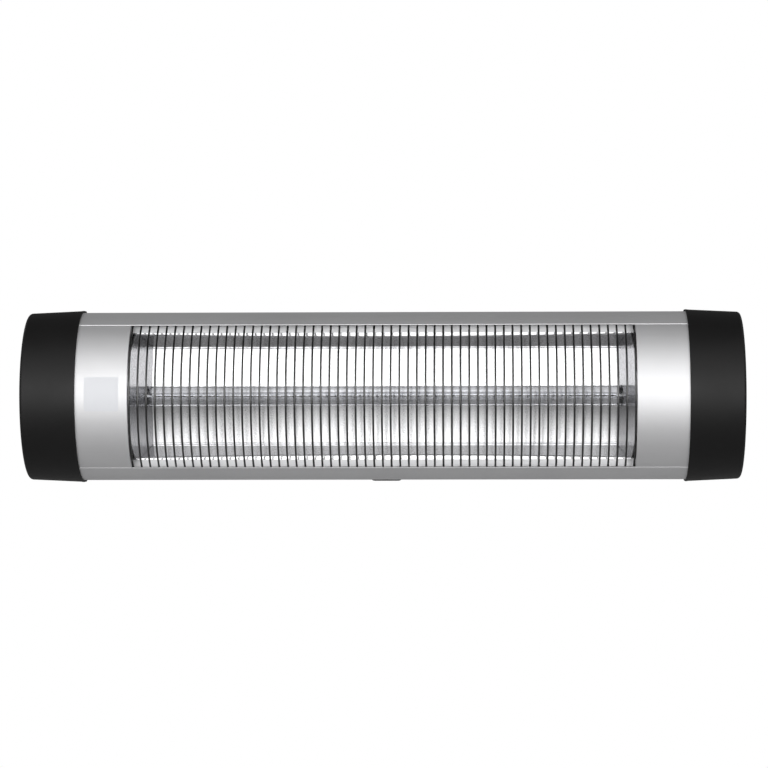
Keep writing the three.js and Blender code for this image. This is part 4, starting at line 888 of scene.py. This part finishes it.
switch_skin = worn("switch case plastic", grained, 2e-5,
                   [(0.012, 0.012, 0.012), (0.016, 0.016, 0.016)], (0.3, 0.4),
                   Scale=2200.0, Broad=50.0)
rocker_skin = worn("rocker plastic", grained, 1e-5, [(0.01, 0.01, 0.01), (0.014, 0.014, 0.014)],
                   (0.16, 0.28), Scale=2600.0, Broad=60.0)
bezel, body, well = (rounded(*sizes, SWITCH_PLACE) for sizes in
                     ((9.9, 14.9, 1.6), (7.1, 12.1, 0.4), (5.7, 10.7, 0.6)))
case = piece("switch_case", drawn([bezel], SWITCH_FACE, BEZEL_TOP), switch_skin)
tags = [tool(drawn([rounded(2.4, 0.4, 0.1, (SWITCH_PLACE[0], v))], TAG_TIP, CASE_BACK + 1))
        for v in (-6.0, 6.0)]
shaped(case, [tool(drawn([body], CASE_BACK, SWITCH_FACE + 0.5)), *tags], "UNION")
shaped(case, [tool(drawn([well], WELL_FLOOR, BEZEL_TOP + 1))])
ease(case, 0.35)
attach(case, "heater_body")
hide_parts("switch_body")

# The rocker's top rises both ways with the root of the square of the height's share plus a little,
# which rounds the valley. The whole is then turned by the tilt about the pivot.
rise = ROCKER_HALF * math.tan(ROCKER_TILT)
height = np.linspace(ROCKER_HALF, -ROCKER_HALF, 41)
slope = np.sqrt((height / ROCKER_HALF) ** 2 + VALLEY) - math.sqrt(VALLEY)
top = 3.0 + rise * slope / VALLEY_RISE
underside = [(-1.6, -9.1), (-3.4, 0.0), (-1.6, 9.1)]
rocker_section = np.vstack([np.column_stack([top, height]), underside])
rocker_points, rocker_faces = drawn([rocker_section], SWITCH_PLACE[0] - ROCKER_WIDE,
                                    SWITCH_PLACE[0] + ROCKER_WIDE, along="depth")
c, s = math.cos(ROCKER_TILT), math.sin(ROCKER_TILT)
tipped = np.column_stack([ROCKER_PIVOT + c * rocker_points[:, 0] - s * rocker_points[:, 2],
                          rocker_points[:, 1],
                          s * rocker_points[:, 0] + c * rocker_points[:, 2]])
rocker = piece("rocker_key", (tipped, rocker_faces), rocker_skin, 0.35, 40.0)
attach(rocker, "rocker")
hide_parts("switch_rocker")


# ---- Cable gland ----------------------------------------------------------------------------
# A black nylon gland in the right cap's back: a hexagon against the cap, and a nut with twelve
# flutes that fade out on its dome.
GLAND_SEAT = -23.2
FLUTES, FLUTE_DEEP = 12, 0.035


def hexagon(radius, place, start=30.0):
    return arc(radius, start, start + 360, place, 60)[:-1]


gland = piece("gland_body", drawn([hexagon(11.0, GLAND_PLACE)], GLAND_SEAT, GLAND_SEAT - 5,
                                  along="depth"), switch_skin)
bevelled = [(GLAND_SEAT + 1, 0), (GLAND_SEAT + 1, 10.6), (GLAND_SEAT - 3.6, 11.2),
            (GLAND_SEAT - 5.1, 9.9), (GLAND_SEAT - 5.1, 0)]
shaped(gland, [tool(turned(bevelled, GLAND_PLACE, 48, along="depth"))], "INTERSECT")
nut_profile = np.array([(-4.5, 9.3), (-5.3, 9.6), (-11.5, 9.6), (-12.2, 9.3), (-14.0, 8.0),
                        (-15.2, 7.2), (-16.0, 6.4)]) + [GLAND_SEAT, 0]
# The nut's radius is cut by a share wherever the cosine of twelve times the angle passes 0.55.
turns = np.linspace(0, 2 * np.pi, 121)[None, :-1]
share = np.clip((nut_profile[:, :1] - GLAND_SEAT + 14.5) / 1.5, 0, 1)
radius = nut_profile[:, 1:] * (1 - FLUTE_DEEP * (np.cos(FLUTES * turns) > 0.55) * share)
nut_grid = spun(nut_profile[:, :1], radius, turns, GLAND_PLACE)[..., [1, 0, 2]]
shaped(gland, [tool(skin(nut_grid)),
               tool(rod(GLAND_SEAT + 11.5, GLAND_SEAT - 1, 8.0, GLAND_PLACE, 48, along="depth"))],
       "UNION")
shaped(gland, [tool(rod(GLAND_SEAT + 13, GLAND_SEAT - 17, 3.6, GLAND_PLACE, 32, along="depth"))])
ease(gland, 0.2, 35.0)
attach(gland, "heater_body")
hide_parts("cable_gland")


# ---- Brackets -------------------------------------------------------------------------------
# Two bent steel channels, powder coated near black. The first is screwed to the wall and the
# second is bolted to the body's back; its ears turn inside the first one's ears on the pivot.
# Here, and for the bolts, depth runs out from the wall.
PIVOT_OUT = 46.0
STEEL = 3.0
PIVOT_HOLE, WALL_HOLE, BOLT_HOLE = 4.4, 3.5, 3.3
TILT_PLATE = 69.7

powder = worn("black powder coat", grained, 1.2e-4, [(0.022, 0.022, 0.024), (0.03, 0.03, 0.032)],
              (0.42, 0.58), Scale=650.0, Broad=30.0)


def channel(half, base, tip, thickness, bend):
    """A U in plan, (x, depth): its back at base, ears reaching to tip, round at both bends."""
    out = math.copysign(1.0, tip - base)
    a = arc(bend + thickness, 0, 90, step=15)
    b = arc(bend, 90, 0, step=15)
    centre_x, centre_u = half - bend - thickness, base + out * (bend + thickness)
    outer = np.column_stack([centre_x + a[:, 0], centre_u - out * a[:, 1]])
    inner = np.column_stack([centre_x + b[:, 0], centre_u - out * b[:, 1]])
    right = np.vstack([[(half, tip)], outer])
    inside_right = np.vstack([inner, [(half - thickness, tip)]])
    return np.vstack([right, right[::-1] * [-1, 1], inside_right[::-1] * [-1, 1], inside_right])


def bracket(name, plate, plate_depths, u_section, u_heights, ear, holes, hole_radius):
    """A flat plate joined to a channel that is trimmed to the ear's side view, with its holes."""
    made = piece(name, drawn([u_section], *u_heights, along="height"), powder, axis_out=0.0)
    shaped(made, [tool(drawn([ear], -20, 20), 0.0)], "INTERSECT")
    shaped(made, [tool(drawn([plate], *plate_depths, along="depth"), 0.0)], "UNION")
    cuts = [tool(rod(plate_depths[0] - 1, plate_depths[1] + 1, hole_radius, place, 32, "depth"),
                 0.0) for place in holes]
    cuts.append(tool(rod(-20, 20, PIVOT_HOLE, (PIVOT_OUT, 0), 32), 0.0))
    shaped(made, cuts)
    ease(made, 0.4)
    return made


wall_ear = np.vstack([[(-1, -22), (0, -22), (5, -16)], arc(16, -90, 90, (PIVOT_OUT, 0), 5),
                      [(5, 16), (0, 22), (-1, 22)]])
wall_side = bracket("wall_channel", rounded(17, 70, 5, (0, -17.5)), (0, STEEL),
                    channel(17, 0, 62.5, STEEL, 1.5), (-23, 23), wall_ear,
                    [(0, -73.5), (0, 38.5)], WALL_HOLE)
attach(wall_side, "wall_side")
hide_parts("wall_bracket")

tilt_ear = np.vstack([[(TILT_PLATE + 1, 20), (TILT_PLATE, 20), (TILT_PLATE - 5, 14)],
                      arc(14, 90, 270, (PIVOT_OUT, 0), 5),
                      [(TILT_PLATE - 5, -14), (TILT_PLATE, -20), (TILT_PLATE + 1, -20)]])
tilting = bracket("tilting_channel", rounded(13.6, 36, 4), (TILT_PLATE - STEEL, TILT_PLATE),
                  channel(13.6, TILT_PLATE, 31.5, STEEL, 1.2), (-21, 21), tilt_ear,
                  [(0, SLOT_HEIGHT), (0, -SLOT_HEIGHT)], BOLT_HOLE)
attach(tilting, "heater_body")
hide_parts("tilt_bracket")


# ---- Bolts, nuts and washers ----------------------------------------------------------------
# Zinc-plated steel: one bolt with two washers and a nut is the tilt pivot, and two short bolts
# hold the tilting channel to nuts in the body's back slots.
BOLT_RADIUS = 4.0
PIVOT_HEX, SLOT_HEX = 7.2, 5.8


def hex_solid(name, start, end, radius, place, along="x", chamfer=0.9):
    """A hexagon with both ends turned down: the prism's overlap with a round of two cones."""
    flat = radius * 0.866
    made = piece(name, drawn([hexagon(radius, place, 0.0 if along == "x" else 30.0)], start, end,
                             along=along), zinc, axis_out=0.0)
    way = math.copysign(1.0, end - start)
    first, last = start - way * 0.1, end + way * 0.1
    profile = [(first, 0), (first, flat), (start + way * chamfer, radius + 0.1),
               (end - way * chamfer, radius + 0.1), (last, flat), (last, 0)]
    return shaped(made, [tool(turned(profile, place, 60, along=along), 0.0)], "INTERSECT")


pivot = (PIVOT_OUT, 0.0)
bolt = hex_solid("pivot_hex_bolt", -24.4, -19.1, PIVOT_HEX, pivot)
shaped(bolt, [tool(rod(-19.6, 18.0, BOLT_RADIUS, pivot, 32), 0.0),
              tool(threaded(17.8, 26.6, BOLT_RADIUS, 3.45, pivot, 1.25, 32), 0.0)], "UNION")
ease(bolt, 0.0)
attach(bolt, "wall_side")
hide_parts("pivot_bolt")

nut = hex_solid("pivot_hex_nut", 19.1, 25.6, PIVOT_HEX, pivot)
shaped(nut, [tool(rod(18, 27, 4.15, pivot, 32), 0.0)])
ease(nut, 0.0)
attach(nut, "wall_side")
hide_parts("pivot_nut")

for side, start in (("right", 17.3), ("left", -18.8)):
    ring = [(start, 4.3), (start, 8.0), (start + 1.5, 8.0), (start + 1.5, 4.3)]
    washer = piece("flat_washer_" + side, turned(ring, pivot, 48, looped=True), zinc, 0.2,
                   axis_out=0.0)
    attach(washer, "wall_side")
    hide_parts("pivot_washer_" + side)

for level, v in (("upper", SLOT_HEIGHT), ("lower", -SLOT_HEIGHT)):
    bolt = hex_solid("slot_bolt_" + level, 66.4, 62.4, SLOT_HEX, (0.0, v), "depth", 0.7)
    shaped(bolt, [tool(rod(66.0, 76.5, 2.9, (0.0, v), 24, "depth"), 0.0)], "UNION")
    ease(bolt, 0.0)
    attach(bolt, "heater_body")
    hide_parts("bracket_bolt_" + level)


# ---- Pieces inside --------------------------------------------------------------------------
# What the body and the caps close in keeps its own solids: steel end plates, sprung lamp clips,
# the terminal block, the thermostat, nuts, a screw and leads. Each kind has its own finish.
plate_steel = worn("zinc-plated sheet", grained, 2e-5, [(0.6, 0.61, 0.62), (0.52, 0.53, 0.56)],
                   (0.32, 0.5), 1.0, Scale=700.0, Broad=220.0)
block_plastic = worn("off-white plastic", grained, 4e-5, [(0.75, 0.73, 0.68), (0.68, 0.65, 0.58)],
                     (0.4, 0.52), Scale=1800.0, Broad=60.0)
brown = worn("brown lead cover", grained, 8e-5, [(0.16, 0.07, 0.03), (0.2, 0.1, 0.05)],
             (0.48, 0.62), Scale=1500.0, Broad=120.0)
green = worn("green and yellow lead cover", grained, 8e-5, [(0.1, 0.32, 0.05), (0.65, 0.55, 0.04)],
             (0.48, 0.62), Scale=1500.0, Broad=300.0)
INSIDE = [
    (plate_steel, ["end_plate_right", "end_plate_left"]),
    (zinc, ["lamp_clip_right", "lamp_clip_left", "earth_screw", "slot_nut_upper",
            "slot_nut_lower"]),
    (ceramic, ["thermal_cutout"]),
    (block_plastic, ["terminal_block"]),
    (switch_skin, ["gland_nut"]),
    (brown, ["lamp_lead_right", "lamp_lead_left", "cutout_lead", "switch_lead"]),
    (green, ["earth_lead"]),
]
for material, members in INSIDE:
    for member in members:
        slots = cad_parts[member].data.materials
        slots.clear()
        slots.append(material)
